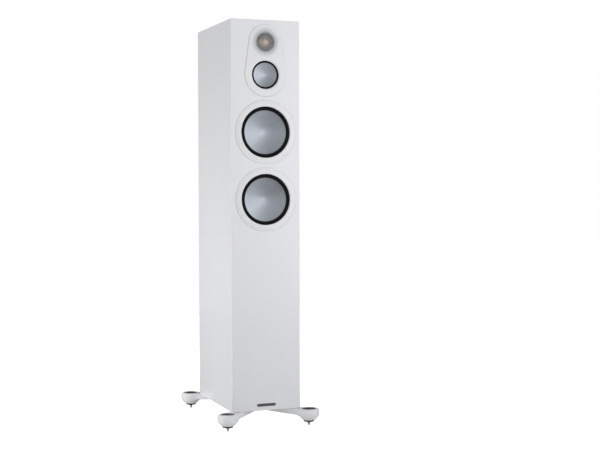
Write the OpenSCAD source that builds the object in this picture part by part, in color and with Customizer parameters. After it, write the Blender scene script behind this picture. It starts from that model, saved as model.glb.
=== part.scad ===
// Slim three-way floorstanding loudspeaker on four cast outrigger feet.
// The front faces -Y, Z is up, and the spike tips stand on Z = 0.
// Depths of drivers, ports and terminals are counted from the face that they are fitted to.

/* [Cabinet] */
// Width of the cabinet
cab_w = 185; // [180:1:240]
// Depth of the cabinet, front face to rear face
cab_d = 300; // [290:1:380]
// Height of the cabinet without its feet
cab_h = 1000; // [990:1:1150]
// Thickness of the side, top, bottom and rear panels
panel_t = 18; // [15:1:20]
// Thickness of the front baffle
baffle_t = 20; // [18:1:24]

/* [Drivers] */
// Height of the lower woofer's centre above the cabinet's bottom
lower_woofer_h = 542.5; // [535:0.5:545]
// Height of the upper woofer's centre
upper_woofer_h = 714.5; // [712:0.5:720]
// Height of the midrange driver's centre
mid_h = 860.5; // [858:0.5:863]
// Height of the tweeter's centre
tweeter_h = 944; // [943.5:0.5:946]
// Visible radius of a woofer cone
woofer_r = 56.3; // [54:0.1:57]
// Depth of a woofer's dish
woofer_dish = 17; // [12:0.5:19]
// Visible radius of the midrange cone
mid_r = 31.5; // [30.5:0.1:32]
// Depth of the midrange dish
mid_dish = 9; // [6:0.5:10]
// Radius of the tweeter dome
dome_r = 12.6; // [12.2:0.1:12.8]

/* [Feet] */
// Distance of each foot's centre from the middle plane
foot_x = 110; // [106:1:125]
// How far a front foot's centre stands in front of the cabinet
front_foot_out = 18; // [14:1:30]
// How far a rear foot's centre stands behind the cabinet
rear_foot_out = 27; // [20:1:36]
// Distance of the spike tips below the cabinet's bottom
spike_drop = 44; // [42:1:48]

/* [Rear] */
// Height of the terminal cup's centre
terminal_h = 120; // [110:1:130]
// Spacing of the two binding posts
post_gap = 19; // [19:0.5:24]
// Height of the lower reflex port
lower_port_h = 364; // [360:1:368]
// Height of the upper reflex port
upper_port_h = 713; // [700:1:730]
// Inner radius of a reflex port
port_r = 27; // [24:1:28]
// Length of a reflex port
port_len = 120; // [90:5:140]

/* [Hidden] */
$fn = 72;

// Places shared by the whole speaker
front_y = -(cab_d + rear_foot_out - front_foot_out) / 2;
rear_y = front_y + cab_d;
base_z = spike_drop;
inner_w = cab_w - 2 * panel_t;
eps = 0.1; // how far a cutter runs past the face that it opens
seam = 0.1; // clearance of pieces that are glued or pressed together
soft_gap = 0.3; // clearance between a cone and its surround

// Woofer depths and radii
ring_outer_r = 82;
ring_inner_r = 66;
ring_proud = 2.6;
ring_seat = 3.3;
ring_bevel = 1.2;
ring_nose = 2.6; // how far out from the opening the ring stands highest
ring_rim_proud = 0.9;
ring_skin = 1.6;
ring_skirt_t = 2.8;
ring_skirt_depth = 4;
flange_r = 78.5;
flange_front = 4.2;
flange_t = 2.8;
woofer_seat = flange_front + flange_t;
woofer_hole_r = 70.8;
woofer_roll_r = 64.7;
woofer_flat = 3.2; // width of the surround's glue flats
woofer_nose = 15; // radius of the rounded centre of the dish
cone_edge = 2.4;
cone_t = 0.7;
coil_r = 15.6;
coil_wall = 0.3;
coil_winding = 0.4;
spider_depth = 33.8;
motor_depth = 52;
plate_t = 6;
magnet_t = 16;
magnet_r = 46;
pole_r = 15;
yoke_r = 42.5;
pole_vent_r = 5;
top_plate_gap = 1.4; // clearance round the voice coil in the magnetic gap
magnet_hole_r = 22;
coil_low = 61;
coil_winding_top = 49;
roll_t = 0.8;
spider_r = 46.5;
spider_gap = 0.3;
spider_wave = 1.1;
spider_waves = 5;
spider_t = 0.4;
// Section of a woofer's basket as radius and depth: flange, wall, cup, motor seat and spider ledge
woofer_basket_section = [
    [63, flange_front], [flange_r, flange_front], [flange_r, woofer_seat], [69.5, woofer_seat],
    [69.5, 12], [50, 34], [50, 38], [46.5, 50], [46.5, motor_depth], [22, motor_depth],
    [22, motor_depth - 2.5], [43.8, motor_depth - 2.5], [46.8, 38], [42, 38], [42, 35.4],
    [47.4, 35.4], [66.8, 12], [66.8, woofer_seat], [63, woofer_seat]
];
// Windows through a basket's wall: depth, distance from the axis, and size outwards, across and in depth
woofer_window = [14.5, 50, 30, 32, 18];
woofer_low_window = [39.5, 40, 20, 26, 8];
window_turn = 30;

// Midrange and tweeter depths and radii
plate_proud = 1.2;
plate_seat = 4;
plate_mid_r = 55.5;
plate_tweeter_r = 44;
plate_gap = 0.3;
mid_hole_r = 41;
mid_flange_r = 47.5;
small_flange_front = 4.2;
small_flange_t = 2.4;
small_seat = small_flange_front + small_flange_t;
mid_roll_r = 35.4;
mid_flat = 2.4;
mid_nose = 8;
mid_cone_edge = 2;
mid_cone_t = 0.6;
mid_coil_r = 12.3;
mid_motor_depth = 29;
mid_motor_r = 27;
mid_motor_len = 21;
mid_gap_outer = 1.2; // room outside the voice coil in its gap
mid_gap_inner = 0.6; // and inside
mid_gap_len = 15;
mid_coil_low = 35;
mid_winding_top = 27.5;
mid_winding = 0.3;
mid_roll_t = 0.6;
mid_spider_r = 29.4;
mid_spider_depth = 20;
mid_spider_wave = 0.7;
mid_spider_waves = 4;
mid_screw_turn = 45;
// Section of the midrange's basket as radius and depth
mid_basket_section = [
    [36.8, small_flange_front], [mid_flange_r, small_flange_front], [mid_flange_r, small_seat],
    [40.6, small_seat], [40.6, 10], [32, 20], [32, 27], [28, mid_motor_depth], [15, mid_motor_depth],
    [15, 27], [27, 27], [30, 25], [30, 23], [27, 23], [27, 21.2], [30, 21.2], [38.4, 10],
    [38.4, small_seat], [36.8, small_seat]
];
mid_window = [11, 32.5, 10, 22, 7];
plate_mid_opening_r = 36;
plate_mid_opening_top_r = 39;
plate_bevel_t = 1.5;
plate_relief_r = 38.4; // shallow recess behind the plate, round the midrange's flange
plate_relief_depth = 2.7;
plate_relief_t = 2;
tweeter_hole_r = 27;
tweeter_flange_r = 34;
grille_r = 38.5;
grille_t = 0.8;
grille_hole_r = 1.3;
grille_ring_gap = 4.4;
grille_rings = 8;
grille_count = 6; // holes in the first ring, and how many more each ring has
grille_turn = 5;
tweeter_mouth_r = 23.5;
tweeter_mouth_top_r = 37.4;
tweeter_mouth_t = 3.7;
dome_depth = 1.2;
dome_rise = 4.2;
dome_t = 0.35;
dome_skirt_depth = 5.2;
dome_skirt_low = 15;
dome_gap = 0.8;
tweeter_roll_r = 15.8;
tweeter_flat = 0.4;
tweeter_roll_t = 0.3;
tweeter_body_r = 26;
tweeter_body_len = 26;
tweeter_well_r = 16.8;
tweeter_well_t = 2.4;
tweeter_gap_top = 6;
tweeter_gap_low = 22;
tweeter_gap_outer = 0.6;
tweeter_gap_inner = 1;
tweeter_dish_r = 10;
tweeter_dish_t = 2;
tweeter_screw_turn = 90;

// Screws: countersunk heads flush in the flanges
screw_r = 1.6;
screw_head_r = 3.1;
screw_head_t = 1.7;
screw_len = 14;
woofer_screws = 6;
woofer_screw_r = 74.2;
mid_screws = 4;
mid_screw_r = 44.2;
tweeter_screws = 3;
tweeter_screw_r = 30.6;

// Terminal cup and posts
cup_w = 84;
cup_h = 64;
cup_depth = 18;
cup_wall = 2.5;
cup_lip = 11;
cup_lip_t = 3;
cup_screw_x = cup_w / 2 + cup_lip / 2;
cup_screw_z = cup_h / 2 + cup_lip / 2;
post_r = 3;
post_collar_r = 7.8;
post_collar_t = 4;
post_len = 30;
banana_r = 2;
core_r = 5.4;
core_len = 16;
core_flange_t = 2;
core_flange_in = 0.9;
shell_r = 8.2;
shell_ribs = 18;
shell_rib_r = 0.7;
shell_rib_end = 1;
shell_gap = 0.2;
nut_gap = 0.3;
run_fit = 0.05;
post_tail = 12;
post_socket_len = 20;
wire_hole_r = 1.25;
wire_hole_up = 1.6;

// Reflex ports
port_wall = 3;
port_flare = 14;
port_flange = 18;
port_steps = 8;
port_overlap = 3; // how far the port's flange covers the panel round its hole

// Cabinet interior
brace_t = 12;
brace_heights = [300, 430, 628.5, 797];
brace_window_w = 92;
brace_rail = 28;
chamber_r = 49;
chamber_wall = 3;
chamber_len = 110;
wadding_t = 8;
wadding_gap = 4;
wadding_front = 60;
wadding_rear = 30;
badge_h = 14.4;
badge_half = 22;
badge_r = 3.5;
badge_t = 0.9;
magnet_button_r = 5;
magnet_button_t = 3;
magnet_button_skin = 2;
magnet_button_x = 80;
magnet_button_heights = [60, 300, 628.5, 800];

// Feet
pod_r = 27.4;
pod_mid_z = -8;
pod_lower_half = 25;
pod_upper_half = 16.6;
pod_top_z = 1;
pod_bottom_z = -29;
pod_recess_r = 20.6;
pod_recess_z = -8;
pod_steps = 10;
spike_r = 4;
spike_top_z = -1.2;
spike_cone_z = -37;
spike_tip_r = 0.7;
knob_r = 19.8;
knob_t = 3.2;
ring_r = 14;
ring_t = 3.6;
ring_gap = 0.4;
knob_grips = 24;
knob_grip_r = 1;
knob_grip_out = 0.5;
arm_end_x = 18;
arm_end_in = 62;
arm_root_w = 40;
arm_end_w = 27;
arm_root_t = 17;
arm_end_t = 9;
arm_start = 8;
arm_neck = 24;
arm_neck_rise = 1;
arm_waist = 0.6; // share of the arm's length at which its underside has its bend
arm_waist_t = 13;
arm_tip = 1;
pod_cut = 40; // length of the cutters through a pod and an arm
arm_bolt_spots = [0.62, 0.86];
bolt_r = 3;
bolt_head_r = 5;
bolt_head_t = 5;
bolt_grip = 5.5;
bolt_reach = 13;
bolt_spare = 1;
bolt_head_gap = 0.5;
bolt_socket_r = 2.8;
bolt_socket_t = 3;

// Crossover, as places across and up its board and sizes
board_w = 110;
board_gap = 14; // distance of the board's back from the rear panel
board_low = 175;
board_high = 285;
board_t = 1.6;
board_stud_in = 5;
board_stud_r = 3;
inductors = [[-33, 82, 18, 17], [8, 86, 15, 15], [40, 88, 12, 12]];
capacitors = [[-40, 42, 8, 34], [-18, 42, 8, 34], [4, 44, 7, 30], [24, 46, 6.5, 26], [42, 46, 5.5, 22]];
resistor_x = [-42, -22, -2, 18];
resistor_low = 6;
resistor_size = [14, 8, 8];

// Leads: each leaves the crossover, climbs one trunk and ends at its driver's basket
lead_r = 1.8;
lead_start_in = 4;
lead_start_h = 240;
lead_bend_h = 264;
trunk_in = 160;
trunk_x = [30, 34.2, 38.4, 42.6];
mid_lead_end = [[18, 150, -15.5], [10, 132.5, 0]];
tweeter_lead_end = [[38, 110, -12], [26, 60, 0], [12, 32.5, 0]];
mid_trunk_top = 800;
tweeter_trunk_top = 895;
woofer_trunk_drop = 60;
woofer_lead_end = [[57, 110, -30], [58, 55, -6], [53, 37, 0]];

// ---------- placing ----------

// Local +Z runs into the cabinet from the front face, at a height above the cabinet's bottom
module on_front(height) {
    translate([0, front_y, base_z + height]) rotate([-90, 0, 0]) children();
}

// Local +Z runs out of the rear face
module on_rear(height, x = 0) {
    translate([x, rear_y, base_z + height]) rotate([-90, 0, 0]) children();
}

module tube(outer, inner, from, to) {
    difference() {
        translate([0, 0, from]) cylinder(r = outer, h = to - from);
        translate([0, 0, from - eps]) cylinder(r = inner, h = to - from + 2 * eps);
    }
}

module revolve(points) {
    rotate_extrude() polygon(points);
}

// Countersunk screw whose head's face lies at local Z = 0 and whose shank runs to +Z
module screw() {
    cylinder(r1 = screw_head_r, r2 = screw_r, h = screw_head_t);
    translate([0, 0, screw_head_t - eps]) cylinder(r = screw_r, h = screw_len - screw_head_t);
}

module screw_hole() {
    translate([0, 0, -eps])
        cylinder(r1 = screw_head_r + seam + eps, r2 = screw_r + seam, h = screw_head_t + eps);
    cylinder(r = screw_r + seam, h = screw_len + eps);
}

module around(count, radius, turn = 0) {
    for (i = [0:count - 1]) rotate([0, 0, turn + i * 360 / count]) translate([radius, 0, 0]) children();
}

// ---------- outlines ----------

// Dish profile: a rounded centre that runs out to a nearly straight slope
function dish_drop(r, edge_r, dish, nose) =
    dish * (1 - (sqrt(r * r + nose * nose) - nose) / (sqrt(edge_r * edge_r + nose * nose) - nose));

function dish_outline(edge_r, dish, nose, edge, thick, steps = 16) = concat(
    [for (i = [0:steps]) let (r = edge_r * i / steps) [r, edge + dish_drop(r, edge_r, dish, nose)]],
    [for (i = [steps:-1:0]) let (r = edge_r * i / steps) [r, edge + thick + dish_drop(r, edge_r, dish, nose)]]
);

// Half-roll surround between two radii, with a glue flat on each side.
// The inner flat slopes back with the cone.
function roll_outline(inner, outer, flat, slope, depth, thick, steps = 12) =
    let (mid = (inner + outer) / 2, big = (outer - inner) / 2, small = big - thick)
    concat(
        [[inner - flat, depth + slope + thick], [inner - flat, depth + slope]],
        [for (i = [0:steps]) let (a = 180 - 180 * i / steps) [mid + big * cos(a), depth - big * sin(a)]],
        [[outer + flat, depth], [outer + flat, depth + thick]],
        [for (i = [0:steps]) let (a = 180 * i / steps) [mid + small * cos(a), depth + thick - small * sin(a)]]
    );
// Corrugated spider
function spider_outline(inner, outer, depth, wave, waves, thick, steps = 48) = concat(
    [for (i = [0:steps]) [inner + (outer - inner) * i / steps, depth + wave * sin(360 * waves * i / steps)]],
    [for (i = [steps:-1:0])
        [inner + (outer - inner) * i / steps, depth + thick + wave * sin(360 * waves * i / steps)]]
);

// Teardrop around the midrange (large) and tweeter (small) centres, local Y pointing down
function teardrop(grow, steps = 24) =
    let (
        big = plate_mid_r + grow,
        small = plate_tweeter_r + grow,
        lean = asin((big - small) / (tweeter_h - mid_h))
    )
    concat(
        [for (i = [0:steps]) let (a = -lean + (180 + 2 * lean) * i / steps) [big * cos(a), big * sin(a)]],
        [for (i = [0:steps])
            let (a = 180 + lean + (180 - 2 * lean) * i / steps)
            [small * cos(a), small * sin(a) - (tweeter_h - mid_h)]]
    );

// Bowl of a foot: two half ellipses that meet at the widest level
function pod_radius(z) =
    let (half = z > pod_mid_z ? pod_upper_half : pod_lower_half)
    pod_r * sqrt(1 - pow((z - pod_mid_z) / half, 2));

// ---------- cabinet ----------

module cabinet_wrap() {
    color("whitesmoke") difference() {
        translate([-cab_w / 2, front_y + baffle_t, base_z]) cube([cab_w, cab_d - baffle_t, cab_h]);
        translate([-inner_w / 2, front_y + baffle_t - eps, base_z + panel_t])
            cube([inner_w, cab_d - baffle_t + 2 * eps, cab_h - 2 * panel_t]);
        at_arms() at_arm_bolts() translate([0, 0, -eps])
            cylinder(r = bolt_r + seam, h = bolt_reach + bolt_spare);
    }
}

module woofer_cutout() {
    translate([0, 0, -eps]) cylinder(r = ring_outer_r + seam, h = woofer_seat + eps);
    cylinder(r = woofer_hole_r, h = baffle_t + eps);
    around(woofer_screws, woofer_screw_r) translate([0, 0, flange_front]) screw_hole();
}

module front_baffle() {
    color("whitesmoke") difference() {
        translate([-cab_w / 2, front_y, base_z]) cube([cab_w, baffle_t, cab_h]);
        on_front(upper_woofer_h) woofer_cutout();
        on_front(lower_woofer_h) woofer_cutout();
        on_front(mid_h) {
            translate([0, 0, -eps]) linear_extrude(plate_seat + eps) polygon(teardrop(plate_gap));
            cylinder(r = mid_flange_r + seam, h = small_seat);
            cylinder(r = mid_hole_r, h = baffle_t + eps);
            around(mid_screws, mid_screw_r, mid_screw_turn) translate([0, 0, small_flange_front]) screw_hole();
        }
        on_front(tweeter_h) {
            cylinder(r = tweeter_flange_r + seam, h = small_seat);
            cylinder(r = tweeter_hole_r, h = baffle_t + eps);
            around(tweeter_screws, tweeter_screw_r, tweeter_screw_turn)
                translate([0, 0, small_flange_front]) screw_hole();
        }
        at_button_magnets() cylinder(r = magnet_button_r + seam, h = baffle_t);
    }
}

module rear_panel() {
    color("whitesmoke") difference() {
        translate([-inner_w / 2, rear_y - panel_t, base_z + panel_t])
            cube([inner_w, panel_t, cab_h - 2 * panel_t]);
        for (height = [lower_port_h, upper_port_h]) on_rear(height) {
            translate([0, 0, -port_wall]) cylinder(r = port_r + port_flange + seam, h = port_wall + eps);
            translate([0, 0, -panel_t - eps])
                cylinder(r = port_r + port_flange - port_overlap, h = panel_t + 2 * eps);
        }
        on_rear(terminal_h) {
            cup_block(cup_w + 2 * cup_lip + 2 * seam, cup_h + 2 * cup_lip + 2 * seam, -cup_lip_t, eps);
            cup_block(cup_w + 2 * cup_wall + 2 * seam, cup_h + 2 * cup_wall + 2 * seam, -panel_t - eps, 0);
            at_cup_screws() screw_hole();
        }
    }
}

module window_braces() {
    color("burlywood") for (height = brace_heights) difference() {
        translate([-inner_w / 2, front_y + baffle_t, base_z + height - brace_t / 2])
            cube([inner_w, cab_d - baffle_t - panel_t, brace_t]);
        translate([-brace_window_w / 2, front_y + baffle_t + brace_rail, base_z + height - brace_t / 2 - eps])
            cube([brace_window_w, cab_d - baffle_t - panel_t - 2 * brace_rail, brace_t + 2 * eps]);
    }
}

module mid_chamber() {
    color("dimgray") on_front(mid_h) difference() {
        translate([0, 0, baffle_t]) cylinder(r = chamber_r, h = chamber_len);
        translate([0, 0, baffle_t - eps])
            cylinder(r = chamber_r - chamber_wall, h = chamber_len - chamber_wall);
    }
}

// Sheets on the side walls, one for each bay between the braces
module damping_wadding() {
    floors = concat([panel_t], [for (h = brace_heights) h + brace_t / 2]);
    roofs = concat([for (h = brace_heights) h - brace_t / 2], [cab_h - panel_t]);
    color("gainsboro") for (i = [0:len(floors) - 1], side = [0, 1]) mirror([side, 0, 0])
        translate([inner_w / 2 - wadding_t, front_y + wadding_front, base_z + floors[i] + wadding_gap])
            cube([wadding_t, cab_d - wadding_front - wadding_rear, roofs[i] - floors[i] - 2 * wadding_gap]);
}

module badge_plate() {
    color("dimgray") on_front(badge_h) translate([0, 0, -badge_t]) {
        translate([-badge_half, -badge_r, 0]) cube([2 * badge_half, 2 * badge_r, badge_t]);
        for (x = [-badge_half, badge_half]) translate([x, 0, 0]) cylinder(r = badge_r, h = badge_t);
    }
}

module at_button_magnets() {
    for (height = magnet_button_heights, x = [-magnet_button_x, magnet_button_x])
        on_front(height) translate([x, 0, magnet_button_skin]) children();
}

module grille_magnets() {
    color("silver") at_button_magnets() translate([0, 0, seam])
        cylinder(r = magnet_button_r, h = magnet_button_t);
}

// ---------- woofers ----------

module woofer_trim_ring(height) {
    outline = [
        [ring_inner_r, ring_seat], [ring_inner_r, -ring_proud + ring_bevel],
        [ring_inner_r + ring_nose / 2, -ring_proud + ring_bevel / 6], [ring_inner_r + ring_nose, -ring_proud],
        [ring_outer_r - ring_bevel, -ring_rim_proud], [ring_outer_r, 0], [ring_outer_r, ring_skirt_depth],
        [ring_outer_r - ring_skirt_t, ring_skirt_depth], [ring_outer_r - ring_skirt_t, ring_skin],
        [ring_inner_r + ring_skirt_t, ring_skin], [ring_inner_r + ring_skirt_t, ring_seat]
    ];
    color("white") on_front(height) revolve(outline);
}

// Windows round a basket, given as depth, distance from the axis and size
module basket_windows(count, window, turn = 0) {
    around(count, window[1], turn) translate([0, -window[3] / 2, window[0]])
        cube([window[2], window[3], window[4]]);
}

module woofer_basket(height) {
    color("dimgray") on_front(height) difference() {
        revolve(woofer_basket_section);
        around(woofer_screws, woofer_screw_r) translate([0, 0, flange_front]) screw_hole();
        basket_windows(woofer_screws, woofer_window, window_turn);
        basket_windows(woofer_screws, woofer_low_window, window_turn);
    }
}

module woofer_surround(height) {
    slope = dish_drop(woofer_r - woofer_flat, woofer_r, woofer_dish, woofer_nose);
    depth = cone_edge + cone_t + soft_gap;
    color("black") on_front(height)
        revolve(roll_outline(woofer_r, woofer_roll_r, woofer_flat, slope, depth, roll_t));
}

module woofer_cone(height) {
    color("silver") on_front(height)
        revolve(dish_outline(woofer_r, woofer_dish, woofer_nose, cone_edge, cone_t));
}

module woofer_voice_coil(height) {
    top = cone_edge + cone_t + dish_drop(coil_r, woofer_r, woofer_dish, woofer_nose) + seam;
    color("goldenrod") on_front(height) {
        tube(coil_r + coil_wall, coil_r, top, coil_low);
        tube(coil_r + coil_wall + coil_winding, coil_r + coil_wall / 2, coil_winding_top, coil_low);
    }
}

module woofer_spider(height) {
    inner = coil_r + coil_wall + spider_gap;
    color("peru") on_front(height)
        revolve(spider_outline(inner, spider_r, spider_depth, spider_wave, spider_waves, spider_t));
}

module woofer_magnet(height) {
    top = motor_depth + plate_t;
    color("black") on_front(height) tube(magnet_r, magnet_hole_r, top, top + magnet_t);
}

module woofer_poles(height) {
    back = motor_depth + plate_t + magnet_t;
    color("gray") on_front(height) {
        tube(yoke_r, coil_r + top_plate_gap, motor_depth, motor_depth + plate_t);
        difference() {
            union() {
                translate([0, 0, back]) cylinder(r = yoke_r, h = plate_t);
                translate([0, 0, motor_depth]) cylinder(r = pole_r, h = back - motor_depth + eps);
            }
            translate([0, 0, motor_depth - eps])
                cylinder(r = pole_vent_r, h = back + plate_t - motor_depth + 2 * eps);
        }
    }
}

// ---------- midrange ----------

module mid_basket() {
    color("dimgray") on_front(mid_h) difference() {
        revolve(mid_basket_section);
        around(mid_screws, mid_screw_r, mid_screw_turn) translate([0, 0, small_flange_front]) screw_hole();
        basket_windows(mid_screws, mid_window);
    }
}

module mid_surround() {
    slope = dish_drop(mid_r - mid_flat, mid_r, mid_dish, mid_nose);
    depth = mid_cone_edge + mid_cone_t + soft_gap;
    color("black") on_front(mid_h)
        revolve(roll_outline(mid_r, mid_roll_r, mid_flat, slope, depth, mid_roll_t));
}

module mid_cone() {
    color("silver") on_front(mid_h) revolve(dish_outline(mid_r, mid_dish, mid_nose, mid_cone_edge, mid_cone_t));
}

module mid_voice_coil() {
    top = mid_cone_edge + mid_cone_t + dish_drop(mid_coil_r, mid_r, mid_dish, mid_nose) + seam;
    color("goldenrod") on_front(mid_h) {
        tube(mid_coil_r + coil_wall, mid_coil_r, top, mid_coil_low);
        tube(mid_coil_r + coil_wall + mid_winding, mid_coil_r + coil_wall / 2, mid_winding_top, mid_coil_low);
    }
}

module mid_spider() {
    inner = mid_coil_r + coil_wall + spider_gap;
    color("peru") on_front(mid_h) revolve(spider_outline(
        inner, mid_spider_r, mid_spider_depth, mid_spider_wave, mid_spider_waves, spider_t
    ));
}

// Pot motor with its voice-coil gap as a round slot
module mid_motor() {
    color("gray") on_front(mid_h) difference() {
        translate([0, 0, mid_motor_depth]) cylinder(r = mid_motor_r, h = mid_motor_len);
        translate([0, 0, mid_motor_depth])
            tube(mid_coil_r + mid_gap_outer, mid_coil_r - mid_gap_inner, -eps, mid_gap_len);
    }
}

// ---------- tweeter ----------

module mid_tweeter_plate() {
    top = plate_proud + plate_seat;
    color("white") difference() {
        on_front(mid_h) translate([0, 0, -plate_proud]) linear_extrude(top) polygon(teardrop(0));
        on_front(mid_h) {
            translate([0, 0, -plate_proud - eps]) cylinder(r = plate_mid_opening_r, h = top + 2 * eps);
            translate([0, 0, -plate_proud - eps])
                cylinder(r1 = plate_mid_opening_top_r, r2 = plate_mid_opening_r, h = plate_bevel_t + eps);
            translate([0, 0, plate_relief_depth]) cylinder(r = plate_relief_r, h = plate_relief_t);
        }
        on_front(tweeter_h) {
            translate([0, 0, -plate_proud - eps]) cylinder(r = grille_r + seam, h = grille_t + eps);
            translate([0, 0, -plate_proud + grille_t - eps])
                cylinder(r1 = tweeter_mouth_top_r, r2 = tweeter_mouth_r, h = tweeter_mouth_t);
            cylinder(r = tweeter_mouth_r, h = plate_seat + eps);
        }
    }
}

module tweeter_grille() {
    color("white") on_front(tweeter_h) difference() {
        translate([0, 0, -plate_proud]) cylinder(r = grille_r, h = grille_t);
        translate([0, 0, -plate_proud - eps]) for (ring = [1:grille_rings])
            around(grille_count * ring, ring * grille_ring_gap, grille_turn * ring)
                cylinder(r = grille_hole_r, h = grille_t + 2 * eps);
    }
}

// Dome and its skirt, turned as one shell
module tweeter_dome() {
    cap_r = (dome_r * dome_r + dome_rise * dome_rise) / (2 * dome_rise);
    color("gold") on_front(tweeter_h) {
        difference() {
            translate([0, 0, dome_depth + cap_r]) sphere(r = cap_r);
            translate([0, 0, dome_depth + cap_r]) sphere(r = cap_r - dome_t);
            translate([0, 0, dome_depth + dome_rise]) cylinder(r = 2 * cap_r, h = 3 * cap_r);
        }
        tube(dome_r, dome_r - dome_t, dome_skirt_depth, dome_skirt_low);
    }
}

module tweeter_surround() {
    color("darkgoldenrod") on_front(tweeter_h) revolve(roll_outline(
        dome_r + dome_gap, tweeter_roll_r, tweeter_flat, 0, dome_skirt_depth, tweeter_roll_t
    ));
}

module tweeter_motor() {
    color("dimgray") on_front(tweeter_h) difference() {
        translate([0, 0, small_flange_front]) union() {
            cylinder(r = tweeter_flange_r, h = small_flange_t);
            cylinder(r = tweeter_body_r, h = tweeter_body_len);
        }
        translate([0, 0, small_flange_front - eps]) cylinder(r = tweeter_well_r, h = tweeter_well_t);
        tube(dome_r + tweeter_gap_outer, dome_r - tweeter_gap_inner, tweeter_gap_top, tweeter_gap_low);
        translate([0, 0, tweeter_gap_top]) cylinder(r = tweeter_dish_r, h = tweeter_dish_t);
        around(tweeter_screws, tweeter_screw_r, tweeter_screw_turn)
            translate([0, 0, small_flange_front]) screw_hole();
    }
}

// ---------- rear ----------

// Trumpet mouth at the rear face and a plain tube running forward
module reflex_ports() {
    turn_r = port_r + port_flare;
    outline = concat(
        [[port_r, -port_len]],
        [for (i = [0:port_steps])
            let (a = 90 * i / port_steps)
            [turn_r - port_flare * cos(a), -port_flare + port_flare * sin(a)]],
        [[port_r + port_flange, 0], [port_r + port_flange, -port_wall]],
        [for (i = [port_steps:-1:0])
            let (a = 90 * i / port_steps, r = port_flare - port_wall)
            [turn_r - r * cos(a), -port_flare + r * sin(a)]],
        [[port_r + port_wall, -port_len]]
    );
    color("black") for (height = [lower_port_h, upper_port_h]) on_rear(height) revolve(outline);
}

module cup_block(w, h, from, to) {
    translate([-w / 2, -h / 2, from]) cube([w, h, to - from]);
}

module at_cup_screws() {
    for (x = [-cup_screw_x, cup_screw_x], y = [-cup_screw_z, cup_screw_z])
        translate([x, y, 0]) mirror([0, 0, 1]) children();
}

module at_posts() {
    for (x = [-post_gap / 2, post_gap / 2]) on_rear(terminal_h, x) children();
}

module terminal_cup() {
    color("black") difference() {
        on_rear(terminal_h) union() {
            cup_block(cup_w + 2 * cup_lip, cup_h + 2 * cup_lip, -cup_lip_t, 0);
            cup_block(cup_w + 2 * cup_wall, cup_h + 2 * cup_wall, -cup_depth - cup_wall, 0);
        }
        on_rear(terminal_h) {
            cup_block(cup_w, cup_h, -cup_depth, eps);
            at_cup_screws() screw_hole();
        }
        at_posts() translate([0, 0, -cup_depth - cup_wall - eps]) cylinder(r = post_r + seam, h = 2 * cup_wall);
    }
}

// Threaded stem with a collar, a cross hole for bare wire and an axial socket for a 4 mm plug
module binding_posts() {
    floor_z = -cup_depth;
    tail_z = floor_z - cup_wall - post_tail;
    tip_z = floor_z + post_len;
    hole_z = floor_z + post_collar_t + wire_hole_up;
    color("gold") at_posts() difference() {
        union() {
            translate([0, 0, tail_z]) cylinder(r = post_r, h = tip_z - tail_z);
            translate([0, 0, floor_z]) cylinder(r = post_collar_r, h = post_collar_t);
        }
        translate([0, 0, tip_z - post_socket_len]) cylinder(r = banana_r, h = post_socket_len + eps);
        translate([0, 0, hole_z]) rotate([0, 90, 0])
            cylinder(r = wire_hole_r, h = 3 * post_collar_r, center = true);
    }
}

module nut_core(x) {
    from = -cup_depth + post_collar_t + nut_gap;
    color("gold") on_rear(terminal_h, x) {
        tube(core_r, post_r + run_fit, from, from + core_len);
        tube(shell_r - core_flange_in, post_r + run_fit, from, from + core_flange_t);
    }
}

// Knurled plastic grip that turns on the core
module nut_shell(x, tint) {
    from = -cup_depth + post_collar_t + nut_gap + core_flange_t + shell_gap;
    length = core_len - core_flange_t;
    rib_len = length - 3 * shell_rib_end;
    color(tint) on_rear(terminal_h, x) translate([0, 0, from]) difference() {
        union() {
            cylinder(r = shell_r - shell_rib_r + shell_gap, h = length);
            around(shell_ribs, shell_r - shell_rib_r) translate([0, 0, shell_rib_end])
                cylinder(r = shell_rib_r, h = rib_len, $fn = 16);
        }
        translate([0, 0, -eps]) cylinder(r = core_r + run_fit, h = length + 2 * eps);
    }
}

// ---------- crossover and wiring ----------

board_y = rear_y - panel_t - board_gap;

module crossover_board() {
    color("darkgreen") {
        translate([-board_w / 2, board_y, base_z + board_low]) cube([board_w, board_t, board_high - board_low]);
        for (side = [-1, 1], z = [board_low + board_stud_in, board_high - board_stud_in])
            translate([side * (board_w / 2 - board_stud_in), board_y + board_t, base_z + z]) rotate([-90, 0, 0])
                cylinder(r = board_stud_r, h = board_gap - board_t);
    }
}

module at_board(x, z) {
    translate([x, board_y - seam, base_z + board_low + z]) rotate([90, 0, 0]) children();
}

module crossover_parts() {
    color("sandybrown") {
        for (spot = inductors) at_board(spot[0], spot[1]) tube(spot[2], spot[2] / 2, 0, spot[3]);
        for (spot = capacitors)
            at_board(spot[0], spot[1] - spot[3] / 2) translate([0, 0, spot[2]]) rotate([-90, 0, 0])
                cylinder(r = spot[2], h = spot[3]);
        for (x = resistor_x) at_board(x, resistor_low) cube(resistor_size);
    }
}

function unit(v) = v / norm(v);

// Direction of a cable at one of its points
function heading(points, i) =
    let (last = len(points) - 1)
    i == 0 ? unit(points[1] - points[0])
    : i == last ? unit(points[last] - points[last - 1])
    : unit(unit(points[i + 1] - points[i]) + unit(points[i] - points[i - 1]));

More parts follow.
